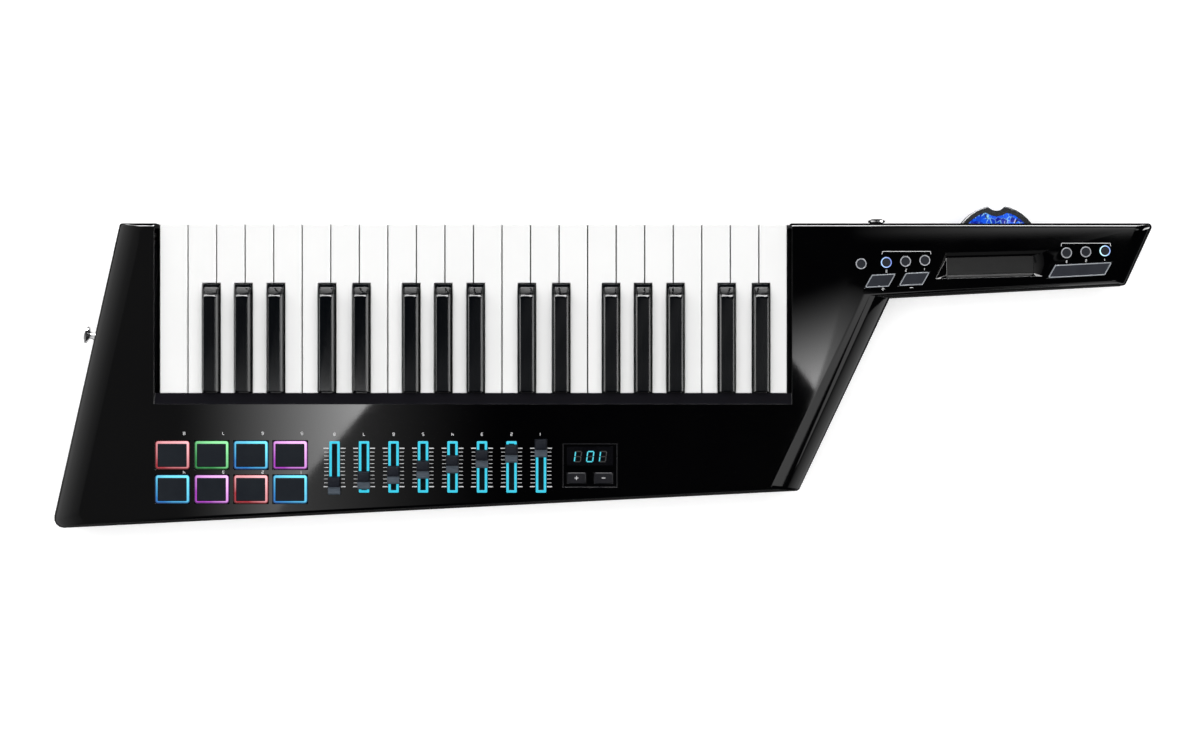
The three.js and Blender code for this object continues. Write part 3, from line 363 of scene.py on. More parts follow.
window_glass = surface(
    "display_window", (0.002, 0.002, 0.003), (0.004, 0.004, 0.005),
    rough=(0.05, 0.09), grain=900, bump=0.01, cloud=20,
)
bezel = surface(
    "display_bezel", (0.005, 0.005, 0.006), (0.009, 0.009, 0.011),
    rough=(0.25, 0.35), grain=1200, bump=0.1, cloud=50,
)
felt = surface(
    "slot_felt", (0.0005, 0.006, 0.009), (0.001, 0.011, 0.015),
    rough=(0.85, 0.95), grain=3000, bump=0.6, cloud=200,
)
rubber = surface(
    "foot_rubber", (0.02, 0.02, 0.02), (0.032, 0.032, 0.032),
    rough=(0.7, 0.85), grain=1200, bump=0.6, cloud=60,
)

# The lip behind the keys is matte, and the black keys' front slopes shine less than their tops
LIP_BACK, LIP_FRONT = -148.25, -138.6
LIP_FOOT = 51.5
lip_low = place(-3, LIP_BACK, LIP_FOOT)
lip_high = place(520, LIP_FRONT, PANEL - 0.12)
matte_inside(gloss, lip_low, lip_high, (0.0085, 0.0082, 0.0105), 0.5)
SLOPE_FOOT, SLOPE_TIP = 0.0084, 0.002
black_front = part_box("black_key_01")[1].y
dull_slope(black, black_front - SLOPE_FOOT, black_front - SLOPE_TIP)

PAD_SLOPE = (0.58, 0.66)
PAD_GLOW = (1.25, PAD_SLOPE, 0.44)
HALO_GLOW = (1.0, PAD_SLOPE)
LIGHTS = {
    "red": glow("light_red", (0.3, 0.004, 0.015), (1.0, 0.5, 0.54), *PAD_GLOW),
    "green": glow("light_green", (0.002, 0.19, 0.03), (0.3, 0.88, 0.38), *PAD_GLOW),
    "azure": glow("light_azure", (0.002, 0.15, 0.46), (0.18, 0.86, 1.0), *PAD_GLOW),
    "magenta": glow("light_magenta", (0.34, 0.025, 0.44), (1.0, 0.54, 1.0), *PAD_GLOW),
    "cyan": glow("light_cyan", (0.004, 0.4, 0.53), (0.025, 0.7, 0.95), 1.05, (0.0, 0.1), 0.6, 240),
    "blue": glow("light_blue", (0.12, 0.18, 0.62), (0.4, 0.62, 1.0), 1.35, (-0.8, -0.3)),
    "ice": glow("light_ice", (0.12, 0.18, 0.62), (0.55, 0.92, 1.0), 1.5, (-0.8, -0.3), 0.6),
}
HALOS = {
    "red": glow("halo_red", (0.1, 0.0015, 0.003), (0.3, 0.016, 0.03), *HALO_GLOW),
    "green": glow("halo_green", (0.001, 0.04, 0.005), (0.012, 0.19, 0.035), *HALO_GLOW),
    "azure": glow("halo_azure", (0.001, 0.035, 0.15), (0.006, 0.2, 0.36), *HALO_GLOW),
    "magenta": glow("halo_magenta", (0.07, 0.004, 0.1), (0.25, 0.055, 0.3), *HALO_GLOW),
}
# The unlit segments get a faint painted glow, though they are off
ghost = glow("display_ghost", (0.0015, 0.0015, 0.0015), (0.003, 0.003, 0.003), 1.0)
digit_light = glow("display_digit", (0.04, 0.56, 0.7), (0.08, 0.78, 0.92), 1.0)
core_glow = sparkle("wheel_core", (0.0006, 0.004, 0.3), (0.008, 0.13, 1.0), (0.35, 0.8, 1.0))

# ---------------------------------------------------------------- mesh helpers


def as_piece(name, shape, material, body="housing"):
    """A piece from points on the drawing and faces, carried by a body."""
    points, faces = shape
    mesh = bpy.data.meshes.new(name)
    mesh.from_pydata([place(*p) for p in points], [], faces)
    mesh.validate()
    mesh.materials.append(material)
    made = bpy.data.objects.new(name, mesh)
    scene.collection.objects.link(made)
    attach(made, body)


def rounded(corners, radius, steps=4):
    """A closed outline with round corners."""
    outline = []
    for i, corner in enumerate(corners):
        before = (Vector(corners[i - 1]) - Vector(corner)).normalized()
        after = (Vector(corners[(i + 1) % len(corners)]) - Vector(corner)).normalized()
        half = before.angle(after) / 2
        back = radius / math.tan(half)
        start = Vector(corner) + before * back
        end = Vector(corner) + after * back
        centre = Vector(corner) + (before + after).normalized() * radius / math.sin(half)
        a = start - centre
        turn = a.angle_signed(end - centre)
        for k in range(steps + 1):
            angle = -turn * k / steps
            c, s = math.cos(angle), math.sin(angle)
            outline.append((centre.x + a.x * c - a.y * s, centre.y + a.x * s + a.y * c))
    return outline


def rounded_box(x, y, width, height, radius):
    w, h = width / 2, height / 2
    return rounded([(x - w, y - h), (x + w, y - h), (x + w, y + h), (x - w, y + h)], radius)


def circle(x, y, radius, sides=40):
    turns = [2 * math.pi * k / sides for k in range(sides)]
    return [(x + radius * math.cos(turn), y + radius * math.sin(turn)) for turn in turns]


def stacked(rings, looped=False):
    """A skin through rings of equal count, closed by two end faces or in a loop."""
    count = len(rings[0])
    points = [p for ring in rings for p in ring]
    faces = []
    for r in range(len(rings) if looped else len(rings) - 1):
        s = (r + 1) % len(rings)
        for k in range(count):
            n = (k + 1) % count
            faces.append((r * count + k, r * count + n, s * count + n, s * count + k))
    if not looped:
        faces.append(tuple(reversed(range(count))))
        faces.append(tuple(range((len(rings) - 1) * count, len(rings) * count)))
    return points, faces


def band(outer, inner, low, high, edge=0.12):
    """A flat frame between two outlines of equal count, with a small chamfer on its upper edges."""

    def between(t, z):
        pairs = zip(outer, inner)
        return [(ox + (ix - ox) * t, oy + (iy - oy) * t, z) for (ox, oy), (ix, iy) in pairs]

    steps = ((0, low), (0, high - edge), (0.12, high), (0.88, high), (1, high - edge), (1, low))
    return stacked([between(t, z) for t, z in steps], looped=True)


def plate(outline, low, high, edge=0.15):
    """A slab of an outline with a small chamfer round its top."""
    cx = sum(p[0] for p in outline) / len(outline)
    cy = sum(p[1] for p in outline) / len(outline)
    drawn_in = []
    for x, y in outline:
        distance = math.hypot(x - cx, y - cy)
        t = (distance - edge) / distance
        drawn_in.append((cx + (x - cx) * t, cy + (y - cy) * t, high))
    sides = [[(x, y, z) for x, y in outline] for z in (low, high - edge)]
    return stacked([*sides, drawn_in])


def merged(parts):
    points, faces = [], []
    for more_points, more_faces in parts:
        base = len(points)
        points += more_points
        faces += [tuple(base + k for k in face) for face in more_faces]
    return points, faces


def bar(start, end, width, low, high):
    """A thin straight stroke from start to end."""
    a, b = Vector(start), Vector(end)
    along = (b - a).normalized()
    side = Vector((-along.y, along.x)) * width / 2
    outline = [a - side, b - side, b + side, a + side]
    return plate([(p.x, p.y) for p in outline], low, high, min(0.04, width / 5))


# Seven strokes of a digit on a cell 1 wide and 2 high: a start and an end for each
STROKES = {
    "a": ((0, 2), (1, 2)),
    "b": ((1, 2), (1, 1)),
    "c": ((1, 1), (1, 0)),
    "d": ((0, 0), (1, 0)),
    "e": ((0, 0), (0, 1)),
    "f": ((0, 1), (0, 2)),
    "g": ((0, 1), (1, 1)),
}
DIGITS = ("abcdef", "bc", "abged", "abgcd", "fgbc", "afgcd", "afgedc", "abc", "abcdefg")


def digit(strokes, x, y, width, height, stroke, low, high, lean=0.0, short=0.0):
    """Strokes of one digit round x, y, upside down in the picture, as the player sees it."""
    parts = []
    for letter in strokes:
        ends = []
        for along, up in STROKES[letter]:
            dx = (along - 0.5) * width + (up - 1) * lean
            dy = (up / 2 - 0.5) * height
            ends.append(Vector((x - dx, y - dy)))
        gap = (ends[1] - ends[0]).normalized() * short
        parts.append(bar(ends[0] + gap, ends[1] - gap, stroke, low, high))
    return merged(parts)


def printed_number(name, number, x, y, width=1.4, height=2.2, stroke=0.45):
    shape = digit(DIGITS[number], x, y, width, height, stroke, PANEL, PANEL + INK)
    as_piece(name, shape, print_ink)


# ---------------------------------------------------------------- carried-over CAD nodes

WELD_DISTANCE = 0.000002
GENTLE_ANGLE = 29.05
NORMAL_WEIGHT = 80
BEVEL_ANGLE = 40
BEVEL_SEGMENTS = 3


def soft_edges(angle):
    """Smooth shading over the gentle facets of a CAD node, up to an angle between faces."""
    group = bpy.data.node_groups.new("soft_edges", "GeometryNodeTree")
    group.interface.new_socket("Geometry", in_out="INPUT", socket_type="NodeSocketGeometry")
    group.interface.new_socket("Geometry", in_out="OUTPUT", socket_type="NodeSocketGeometry")
    made = group.nodes
    start = made.new("NodeGroupInput")
    end = made.new("NodeGroupOutput")
    drop = made.new("GeometryNodeRemoveAttribute")
    drop.inputs["Name"].default_value = "custom_normal"
    weld = made.new("GeometryNodeMergeByDistance")
    weld.inputs["Distance"].default_value = WELD_DISTANCE
    faces = made.new("GeometryNodeSetShadeSmooth")
    faces.domain = "FACE"
    edges = made.new("GeometryNodeSetShadeSmooth")
    edges.domain = "EDGE"
    bend = made.new("GeometryNodeInputMeshEdgeAngle")
    gentle = made.new("FunctionNodeCompare")
    gentle.operation = "LESS_THAN"
    gentle.inputs["B"].default_value = angle
    links = group.links
    links.new(bend.outputs["Unsigned Angle"], gentle.inputs["A"])
    links.new(gentle.outputs["Result"], edges.inputs["Shade Smooth"])
    for a, b in ((start, drop), (drop, weld), (weld, faces), (faces, edges), (edges, end)):
        links.new(a.outputs["Geometry"], b.inputs["Geometry"])
    return group


gentle_edges = soft_edges(math.radians(GENTLE_ANGLE))


def dress(node, material, bevel):
    node.data.materials.clear()
    node.data.materials.append(material)
    node.data.polygons.foreach_set("material_index", [0] * len(node.data.polygons))
    smoothing = node.modifiers.new("soft_edges", "NODES")
    smoothing.node_group = gentle_edges
    if bevel:
        edge = node.modifiers.new("edge", "BEVEL")
        edge.width = bevel
        edge.segments = BEVEL_SEGMENTS
        edge.limit_method = "ANGLE"
        edge.angle_limit = math.radians(BEVEL_ANGLE)
        edge.use_clamp_overlap = True
    weighted = node.modifiers.new("normals", "WEIGHTED_NORMAL")
    weighted.keep_sharp = True
    weighted.weight = NORMAL_WEIGHT


# How the names of each group of nodes start, its material and its bevel in metres
NODE_GROUPS = (
    ("top_cover", gloss, 0),
    ("rear_cover", shell, 0),
    ("battery_door", shell, 0),
    ("key_chassis", chassis, 0),
    ("pad_mat", pad_rubber, 0),
    ("neck_button_mat", keypad_rubber, 0),
    ("touch_strip", strip_film, 0),
    ("strap_pin", chrome, 0),
    ("pitch_wheel", smoke, 0),
    ("white_key", white, 0.00035),
    ("black_key", black, 0),
    ("fader_cap", cap_plastic, 0.0003),
    ("preset", preset_button, 0),
    ("octave", neck_button, 0),
    ("sustain", neck_button, 0),
)
for name, node in nodes.items():
    for start, material, bevel in NODE_GROUPS:
        if name.startswith(start):
            dress(node, material, bevel)

# ---------------------------------------------------------------- pads

PAD_X, PAD_Y = 11.9, -190.0
PAD_PITCH, PAD_ROW_PITCH = 32.2, 28.0
PAD_SIZE = (28.4, 23.5)
PAD_COLOURS = ["red", "green", "azure", "magenta", "azure", "magenta", "red", "azure"]
PAD_TOP = PANEL + 0.4
RIM_FOOT, HALO_TOP, LIGHT_TOP = PAD_TOP - 0.2, PAD_TOP + 0.14, PAD_TOP + 0.22
# The outlines of a pad's halo and light, from outside to inside: how far its middle is off the
# pad's, how much narrower and lower than the pad it is, and its corner radius
RIM_OUTLINES = (
    ((0, 0), (0.2, 0.2), 2.3),
    ((0.1, 0.25), (1.6, 1.4), 1.6),
    ((-0.2, -0.2), (4.5, 4.4), 0.6),
)
NUMBER_ASIDE = 9.6
NUMBER_RISE = (17.8, 14.0)  # for the upper and the lower row

for index, colour in enumerate(PAD_COLOURS):
    row, column = divmod(index, 4)
    x = PAD_X + column * PAD_PITCH
    y = PAD_Y - row * PAD_ROW_PITCH
    outer, between, inner = (
        rounded_box(x + dx, y + dy, PAD_SIZE[0] - narrower, PAD_SIZE[1] - lower, radius)
        for (dx, dy), (narrower, lower), radius in RIM_OUTLINES
    )
    halo = band(outer, between, RIM_FOOT, HALO_TOP)
    as_piece(f"pad_halo_{index + 1}", halo, HALOS[colour])
    light = band(between, inner, RIM_FOOT, LIGHT_TOP)
    as_piece(f"pad_light_{index + 1}", light, LIGHTS[colour])
    printed_number(f"pad_number_{index + 1}", 8 - index, x + NUMBER_ASIDE, y + NUMBER_RISE[row])

# ---------------------------------------------------------------- faders

FADERS = 8
FADER_X, FADER_Y = 144.9, -199.7
FADER_PITCH = 24.2
FADER_NUMBER_RISE = 26.8
FRAME_SIZE = (8.5, 42.2)
FRAME_HOLE = (4.5, 38.2)
FRAME_FOOT, FRAME_TOP = PANEL - 0.1, PANEL + 0.16
FELT_SIZE = (6.4, 40.0)
FELT_LOW, FELT_TOP = 53.2, 53.6
TICKS = 11
TICK_TOP, TICK_BOTTOM = -184.4, -215.9
TICK_START = 4.9
END_TICK = (0.8, 9.0)  # how thick it is, and how far from the fader's middle it ends
INNER_TICK = (0.42, 8.5)
CAP_FOOT, CAP_HEIGHT = PANEL + 0.5, 8.6
STEP_TOP = CAP_FOOT + 0.56 * CAP_HEIGHT
STEP_FOOT = CAP_FOOT + 0.32 * CAP_HEIGHT
GRIP_HALF = 5.0
GRIP_ROWS = 9
GRIP_DROPS = (1.15, 6.5, 7.45)  # how far its top, its foot and the cap's front lie below the middle
GRIP_LIP, GRIP_SUNK = 1.9, 0.4
GRIP_RISE, RIDGE_RISE = 0.3, 0.3
GRIP_EDGE = 0.25


def fader_scale(x):
    ticks = []
    for k in range(TICKS):
        y = TICK_TOP + (TICK_BOTTOM - TICK_TOP) * k / (TICKS - 1)
        thick, tip = END_TICK if k in (0, TICKS - 1) else INNER_TICK
        for side in (-1, 1):
            start, end = (x + side * TICK_START, y), (x + side * tip, y)
            ticks.append(bar(start, end, thick, PANEL, PANEL + INK))
    return merged(ticks)


def fader_grip(x, cap_y):
    """The grip on a cap's lower step, with its ridges, and the cap's front below it; its lighter
    grey is painted sheen.
    """
    top_y, low_y, front_y = (cap_y - down for down in GRIP_DROPS)
    profile = [(front_y, STEP_FOOT - GRIP_LIP)]
    for k in range(GRIP_ROWS):
        t = k / (GRIP_ROWS - 1)
        ridge = RIDGE_RISE if k % 2 else 0
        height = STEP_FOOT + t * (STEP_TOP - STEP_FOOT) + GRIP_RISE + ridge
        profile.append((low_y + (top_y - low_y) * t, height))
    under = [(top_y, STEP_TOP - GRIP_SUNK), (low_y, STEP_FOOT - GRIP_SUNK)]
    rings = []
    for side in (-GRIP_HALF, -GRIP_HALF + GRIP_EDGE, GRIP_HALF - GRIP_EDGE, GRIP_HALF):
        drop = GRIP_EDGE if abs(side) == GRIP_HALF else 0
        ring = [(x + side, y, z - drop) for y, z in profile]
        rings.append(ring + [(x + side, y, z) for y, z in under])
    return stacked(rings)


for index in range(FADERS):
    number = index + 1
    cap = f"fader_cap_{number}"
    x = FADER_X + index * FADER_PITCH
    frame_outline = rounded_box(x, FADER_Y, *FRAME_SIZE, 0.8)
    hole_outline = rounded_box(x, FADER_Y, *FRAME_HOLE, 0.3)
    light = band(frame_outline, hole_outline, FRAME_FOOT, FRAME_TOP)
    as_piece(f"fader_light_{number}", light, LIGHTS["cyan"])
    as_piece(f"fader_scale_{number}", fader_scale(x), print_ink)
    printed_number(f"fader_number_{number}", FADERS - index, x, FADER_Y + FADER_NUMBER_RISE)
    grip = fader_grip(x, middle_of(cap)[1])
    # The grip piece carries the painted sheen of the cap's lower step
    as_piece(f"fader_grip_{number}", grip, grip_painted_sheen, cap)
    strip = plate(rounded_box(x, FADER_Y, *FELT_SIZE, 0.5), FELT_LOW, FELT_TOP)
    as_piece(f"fader_felt_{number}", strip, felt)

# ---------------------------------------------------------------- display

DISPLAY_X, DISPLAY_Y = FADER_X + 7 * FADER_PITCH + 40.2, -198.4
DISPLAY_SIZE = (44.6, 35.8)
BEZEL_WIDTH = 0.65
SINK = PANEL - 0.6
BEZEL_TOP, BEZEL_CHAMFER = PANEL + 0.02, 0.3
WINDOW_TOP, WINDOW_CHAMFER = SINK + 0.25, 0.1
WINDOW_SIZE = (38.0, 15.4)
WINDOW_RISE = 7.6
DIGIT_ROW = 456.6
DIGIT_CELLS = ((578.0, 1), (590.2, 0), (603.0, 1))  # a pixel column and the number there
CELL_SIZE = (5.0, 8.3)
CELL_STROKE, CELL_LEAN, CELL_GAP = 0.95, 0.55, 0.3
CELL_FOOT, UNLIT_TOP, LIT_TOP = SINK + 0.2, SINK + 0.28, SINK + 0.34
SIGN_ARM, SIGN_STROKE = 1.5, 0.6
SIGN_SUNK, SIGN_RISE = 0.02, 0.08

HOLE_SIZE = [size - 2 * BEZEL_WIDTH for size in DISPLAY_SIZE]
bezel_outline = rounded_box(DISPLAY_X, DISPLAY_Y, *DISPLAY_SIZE, 0.6)
bezel_hole = rounded_box(DISPLAY_X, DISPLAY_Y, *HOLE_SIZE, 0.3)
bezel_frame = band(bezel_outline, bezel_hole, SINK, BEZEL_TOP, BEZEL_CHAMFER)
as_piece("display_bezel", bezel_frame, bezel)
window_outline = rounded_box(DISPLAY_X, DISPLAY_Y + WINDOW_RISE, *WINDOW_SIZE, 0.6)
window = plate(window_outline, SINK, WINDOW_TOP, WINDOW_CHAMFER)
as_piece("display_window", window, window_glass)
lit, unlit = [], []
for px, number in DIGIT_CELLS:
    x, y = drawn_at(px, DIGIT_ROW)
    for letter in STROKES:
        target, top = (lit, LIT_TOP) if letter in DIGITS[number] else (unlit, UNLIT_TOP)
        heights = (CELL_FOOT, top)
        target.append(digit(letter, x, y, *CELL_SIZE, CELL_STROKE, *heights, CELL_LEAN, CELL_GAP))
as_piece("display_digits", merged(lit), digit_light)
# The unlit segments carry the faint painted glow
as_piece("display_ghosts", merged(unlit), ghost)

for name, arms in (("preset_up", ((1, 0), (0, 1))), ("preset_down", ((1, 0),))):
    x, y, top = middle_of(name + "_button")
    parts = []
    for across, up in arms:
        dx, dy = across * SIGN_ARM, up * SIGN_ARM
        start, end = (x - dx, y - dy), (x + dx, y + dy)
        parts.append(bar(start, end, SIGN_STROKE, top - SIGN_SUNK, top + SIGN_RISE))
    as_piece(name + "_sign", merged(parts), print_ink, name + "_button")

# ---------------------------------------------------------------- neck

NECK_ROOT = 61.0
NECK_LENGTH = 193.8
NECK_TIP = 50.7
HEEL = 84.5
NECK_ANGLE = math.atan2(NECK_ROOT - NECK_TIP, NECK_LENGTH)


def on_neck(along, up):
    """A point on the neck, measured along its lower edge and up from it."""
    c, s = math.cos(NECK_ANGLE), math.sin(NECK_ANGLE)
    return (KEYBED + HEEL + along * c - up * s, -NECK_ROOT + along * s + up * c)


ROUND_ROW = 29.2
ROUND_TOP = PANEL + 1.0
ROUND_STARTS = (-23.1, -2.4, 13.4, 29.2, 145.6, 161.4, 177.2)
ROUND_LIT = {1: "blue", 6: "ice"}
RING_OUTER, RING_INNER = 4.4, 3.6
RING_FOOT, RING_TOP = ROUND_TOP - 0.35, ROUND_TOP + 0.14
RIM_CHAMFER = 0.1
for index, start in enumerate(ROUND_STARTS):
    x, y = on_neck(start, ROUND_ROW)
    outer, inner = circle(x, y, RING_OUTER), circle(x, y, RING_INNER)
    ring = band(outer, inner, RING_FOOT, RING_TOP, RIM_CHAMFER)
    if index in ROUND_LIT:
        as_piece(f"round_ring_{index + 1}", ring, LIGHTS[ROUND_LIT[index]])
    else:
        as_piece(f"round_ring_{index + 1}", ring, ring_ink)

BAR_ROW = 9.3
BAR_HEIGHT = 10.4
BAR_SLANT = 6.6
BARS = (("octave_up", -21.4, 19.9), ("octave_down", 6.5, 19.9), ("sustain", 129.1, 47.0))
OUTLINE_FOOT, OUTLINE_TOP = ROUND_TOP - 0.5, ROUND_TOP + 0.1
OUTLINE_OUTER, OUTLINE_INNER = (0.05, 1.0), (0.85, 0.4)  # insets and corner radii


def bar_corners(start, length, inset):
    """The corners of a slanted button, drawn in by an inset."""
    lean = BAR_SLANT / BAR_HEIGHT
    back = inset * math.sqrt(1 + lean * lean)
    left, right = start + back, start + length - back
    shift = lean * inset
    return [
        on_neck(left + shift, BAR_ROW + inset),
        on_neck(right + shift, BAR_ROW + inset),
        on_neck(right + BAR_SLANT - shift, BAR_ROW + BAR_HEIGHT - inset),
        on_neck(left + BAR_SLANT - shift, BAR_ROW + BAR_HEIGHT - inset),
    ]


for name, start, length in BARS:
    outer, inner = (
        rounded(bar_corners(start, length, inset), radius)
        for inset, radius in (OUTLINE_OUTER, OUTLINE_INNER)
    )
    outline = band(outer, inner, OUTLINE_FOOT, OUTLINE_TOP, RIM_CHAMFER)
    as_piece(name + "_outline", outline, outline_ink, name + "_button")


def neck_print(name, strokes, width=0.45):
    """Printed lines on the neck, given by the pixels of their ends."""
    parts = []
    for start, end in strokes:
        parts.append(bar(drawn_at(*start), drawn_at(*end), width, PANEL, PANEL + INK))
    as_piece(name, merged(parts), print_ink)


BRACKETS = (
    ((882.0, 254.2), (882.6, 251.4), (930.4, 251.4), (930.9, 254.2)),
    ((1061.2, 246.2), (1061.6, 243.2), (1110.2, 243.2), (1110.7, 246.2)),
)
NECK_NUMBER_DROP = 7.2
NECK_NUMBER_SIZE = (1.1, 1.8, 0.38)  # width, height and stroke
ACROSS, UPRIGHT = (1.6, 0), (0, 1.6)
for index, corners in enumerate(BRACKETS):
    neck_print(f"neck_bracket_{index + 1}", list(zip(corners, corners[1:])))
for index, start in enumerate(ROUND_STARTS[1:]):
    x, y = on_neck(start, ROUND_ROW - NECK_NUMBER_DROP)
    printed_number(f"neck_number_{index + 1}", 3 - index % 3, x, y, *NECK_NUMBER_SIZE)
for label, (px, py), arms in (
    ("up", (883.0, 289.0), (ACROSS, UPRIGHT)),
    ("down", (911.5, 287.6), (ACROSS,)),
):
    strokes = [((px - dx, py - dy), (px + dx, py + dy)) for dx, dy in arms]
    neck_print(f"octave_{label}_sign", strokes, 0.5)

# ---------------------------------------------------------------- pitch wheel

WHEEL_X, WHEEL_Y = KEYBED + HEEL + 89.4, -19.6
WHEEL_MIDDLE = 34.0
WEB = 3.7
LENS_FOOT = WEB + 0.05
CORE_OUTER = 31.1
CORE_RADII = (12.0, 17.0, 22.0, 27.0, CORE_OUTER)
CORE_HEIGHTS = (1.2, 1.5, 1.7, 1.5, 0.8)
NOTCH_UP = 40.8
NOTCH_RIM = 14.1
SECTORS = 32
FAN_START = 0.05
VALLEY_SHARE = 0.35
LENS_RISE = 0.15
JITTER = 0.6
INNER_DRAW = 0.35  # how far the inner rows follow where the notch draws in the outermost one


def core_point(radius, angle):
    """A point of the wheel's lens, drawn in where the thumb notch's rim is."""
    rim = radius
    while math.hypot(rim * math.cos(angle), rim * math.sin(angle) - NOTCH_UP) < NOTCH_RIM:
        rim -= 0.1
    if radius != CORE_OUTER:
        rim = min(radius, rim - (CORE_OUTER - radius) * INNER_DRAW)
    return WHEEL_X + rim * math.cos(angle), WHEEL_Y + rim * math.sin(angle)


def lens(side):
    """A fan of ridges and valleys from the hub outwards, like the cut facets of a lens."""
    base = WHEEL_MIDDLE + side * LENS_FOOT
    over, faces = [], []
    row = SECTORS + 1
    rows = len(CORE_RADII)
    for r, radius in enumerate(CORE_RADII):
        for k in range(row):
            jitter = noise.noise(Vector((k * 1.7, r * 2.3, 1.0))) * JITTER * (0 < k < SECTORS)
            angle = FAN_START + (math.pi - 2 * FAN_START) * (k + jitter) / SECTORS
            lift = LENS_RISE + CORE_HEIGHTS[r] * (1.0 if (k + r) % 2 else VALLEY_SHARE)
            over.append((*core_point(radius, angle), base + side * lift))
    count = len(over)
    for r in range(rows - 1):
        for k in range(SECTORS):
            a = r * row + k
            b = a + row
            faces += [(a, a + 1, b + 1), (a, b + 1, b)]
    faces += [tuple(reversed([count + k for k in face])) for face in faces]
    border = list(range(row)) + [r * row + SECTORS for r in range(1, rows - 1)]
    border += [(rows - 1) * row + k for k in reversed(range(row))]
    border += [r * row for r in range(rows - 2, 0, -1)]
    for k, a in enumerate(border):
        b = border[(k + 1) % len(border)]
        faces.append((b, a, count + a, count + b))
    if side < 0:
        faces = [tuple(reversed(face)) for face in faces]
    return over + [(x, y, base) for x, y, _ in over], faces


for side, label in ((1, "upper"), (-1, "lower")):
    as_piece(f"wheel_core_{label}", lens(side), core_glow, "pitch_wheel")

# ---------------------------------------------------------------- screws and feet

BODY_DEPTH = 251.0
# Shares of the keys' length and of the body's depth
SCREW_SHARES = (
    (-0.125, 0.912),
    (0.254, 0.924),
    (0.632, 0.884),
    (0.884, 0.852),
    (-0.035, 0.085),
    (1.07, 0.42),
    (1.062, 0.072),
)
FOOT_SHARES = ((-0.1, 0.87), (-0.03, 0.11), (0.95, 0.78), (1.08, 0.13))
WELL_DEPTH = 9.0
BODY_BACK = 3.0
NECK_BACK = 20.0
NECK_TIP_X = KEYBED + HEEL + NECK_LENGTH - 0.27
FOOT_RADIUS = 8.5
HEAD_PROFILE = ((2.7, 0.0), (2.75, 0.5), (2.5, 1.2), (1.9, 1.7))  # radii and drops
HEAD_SIDES = 24
ARM_REACH, CORE_REACH = 1.45, 0.5
RECESS_TOP, RECESS_FLOOR, RECESS_TAPER = 1.85, 0.7, 0.75
# Radii beyond the foot's, and heights, round the section of its rubber ring
FOOT_PROFILE = (
    (-0.4, 0.05),
    (0.25, 0.6),
    (0.5, 2.2),
    (1.1, 2.95),
    (-0.6, 2.95),
    (-1.6, 0.9),
    (-1.4, 0.05),
)
FOOT_SIDES = 48


def screw_head(x, y, top):
    """A pan head that faces down, with a cross recess, whose washer face lies at a height."""
    rings = [
        [(px, py, top - drop) for px, py in circle(x, y, radius, HEAD_SIDES)]
        for radius, drop in HEAD_PROFILE
    ]
    cross = []
    for k in range(HEAD_SIDES):
        angle = 2 * math.pi * k / HEAD_SIDES
        reach_out = ARM_REACH if abs(math.cos(2 * angle)) > 0.8 else CORE_REACH
        cross.append((x + reach_out * math.cos(angle), y + reach_out * math.sin(angle)))
    rings.append([(px, py, top - RECESS_TOP) for px, py in cross])
    narrowed = [(x + (px - x) * RECESS_TAPER, y + (py - y) * RECESS_TAPER) for px, py in cross]
    rings.append([(px, py, top - RECESS_FLOOR) for px, py in narrowed])
    return stacked([list(reversed(ring)) for ring in rings])


screw_places = [(a * KEYBED, -d * BODY_DEPTH, BODY_BACK) for a, d in SCREW_SHARES]
screw_places.append((NECK_TIP_X, -NECK_TIP / 2, NECK_BACK))
for index, (x, y, back) in enumerate(screw_places):
    as_piece(f"screw_{index + 1}", screw_head(x, y, back + WELL_DEPTH), screw_steel)
for index, (along, down) in enumerate(FOOT_SHARES):
    x, y = along * KEYBED, -down * BODY_DEPTH
    rings = [
        [(px, py, z) for px, py in circle(x, y, FOOT_RADIUS + beyond, FOOT_SIDES)]
        for beyond, z in FOOT_PROFILE
    ]
    as_piece(f"foot_ring_{index + 1}", stacked(rings, looped=True), rubber)

# ---------------------------------------------------------------- cards that only gloss can see


def emitter(name, corners, strength):
    """A card that shines by a number, or by the nodes that a function adds to its shader."""
    mesh = bpy.data.meshes.new(name)
    mesh.from_pydata(corners, [], [tuple(range(len(corners)))])
    card = bpy.data.objects.new(name, mesh)
    material = bpy.data.materials.new(name)
    shading = Shading(material)
    shading.nodes.remove(shading.nodes["Principled BSDF"])
    power = strength(shading) if callable(strength) else strength
    shine = shading.node("ShaderNodeEmission", {"Strength": power})
    shading.fill(shading.nodes["Material Output"], {"Surface": shine.outputs["Emission"]})
    mesh.materials.append(material)
    scene.collection.objects.link(card)
    card.visible_camera = False
    card.visible_diffuse = False
    card.visible_shadow = False
    card.visible_transmission = False


CARD_HEIGHT = 3.0


def mirrored(px, py):
    """Where the corner of an overhead card lies so that the panel shows it at a pixel."""
    seen = seen_at(px, py, PANEL)
    share = (CARD_HEIGHT - PANEL * MM) / (CAMERA_HEIGHT - PANEL * MM)
    x = seen.x + (seen.x - camera.location.x) * share
    y = seen.y + (seen.y - camera.location.y) * share
    return Vector((x, y, CARD_HEIGHT))


def overhead_card(name, pixels, strength):
    emitter(name, [mirrored(*pixel) for pixel in pixels], strength)


def growing(axis, start, end, low, high):
    """A strength that changes evenly along an axis of the frame."""
    return lambda shading: shading.ramp(shading.axis(axis), start, end, low, high)


def between_pixels(axis, from_px, to_px):
    """The places on the axis of an overhead card that the panel shows at two pixels."""
    number = "XY".index(axis)
    return [mirrored(px, px)[number] for px in (from_px, to_px)]


def squared(axis, from_px, to_px, top, foot=0.0):
    """A strength that grows as a square from one pixel column or row to another."""

    def build(shading):
        rise = growing(axis, *between_pixels(axis, from_px, to_px), 0, 1)(shading)
        return shading.compute("MULTIPLY_ADD", shading.compute("POWER", rise, 2.0), top, foot)

    return build


def product(first, second):
    return lambda shading: shading.compute("MULTIPLY", first(shading), second(shading))


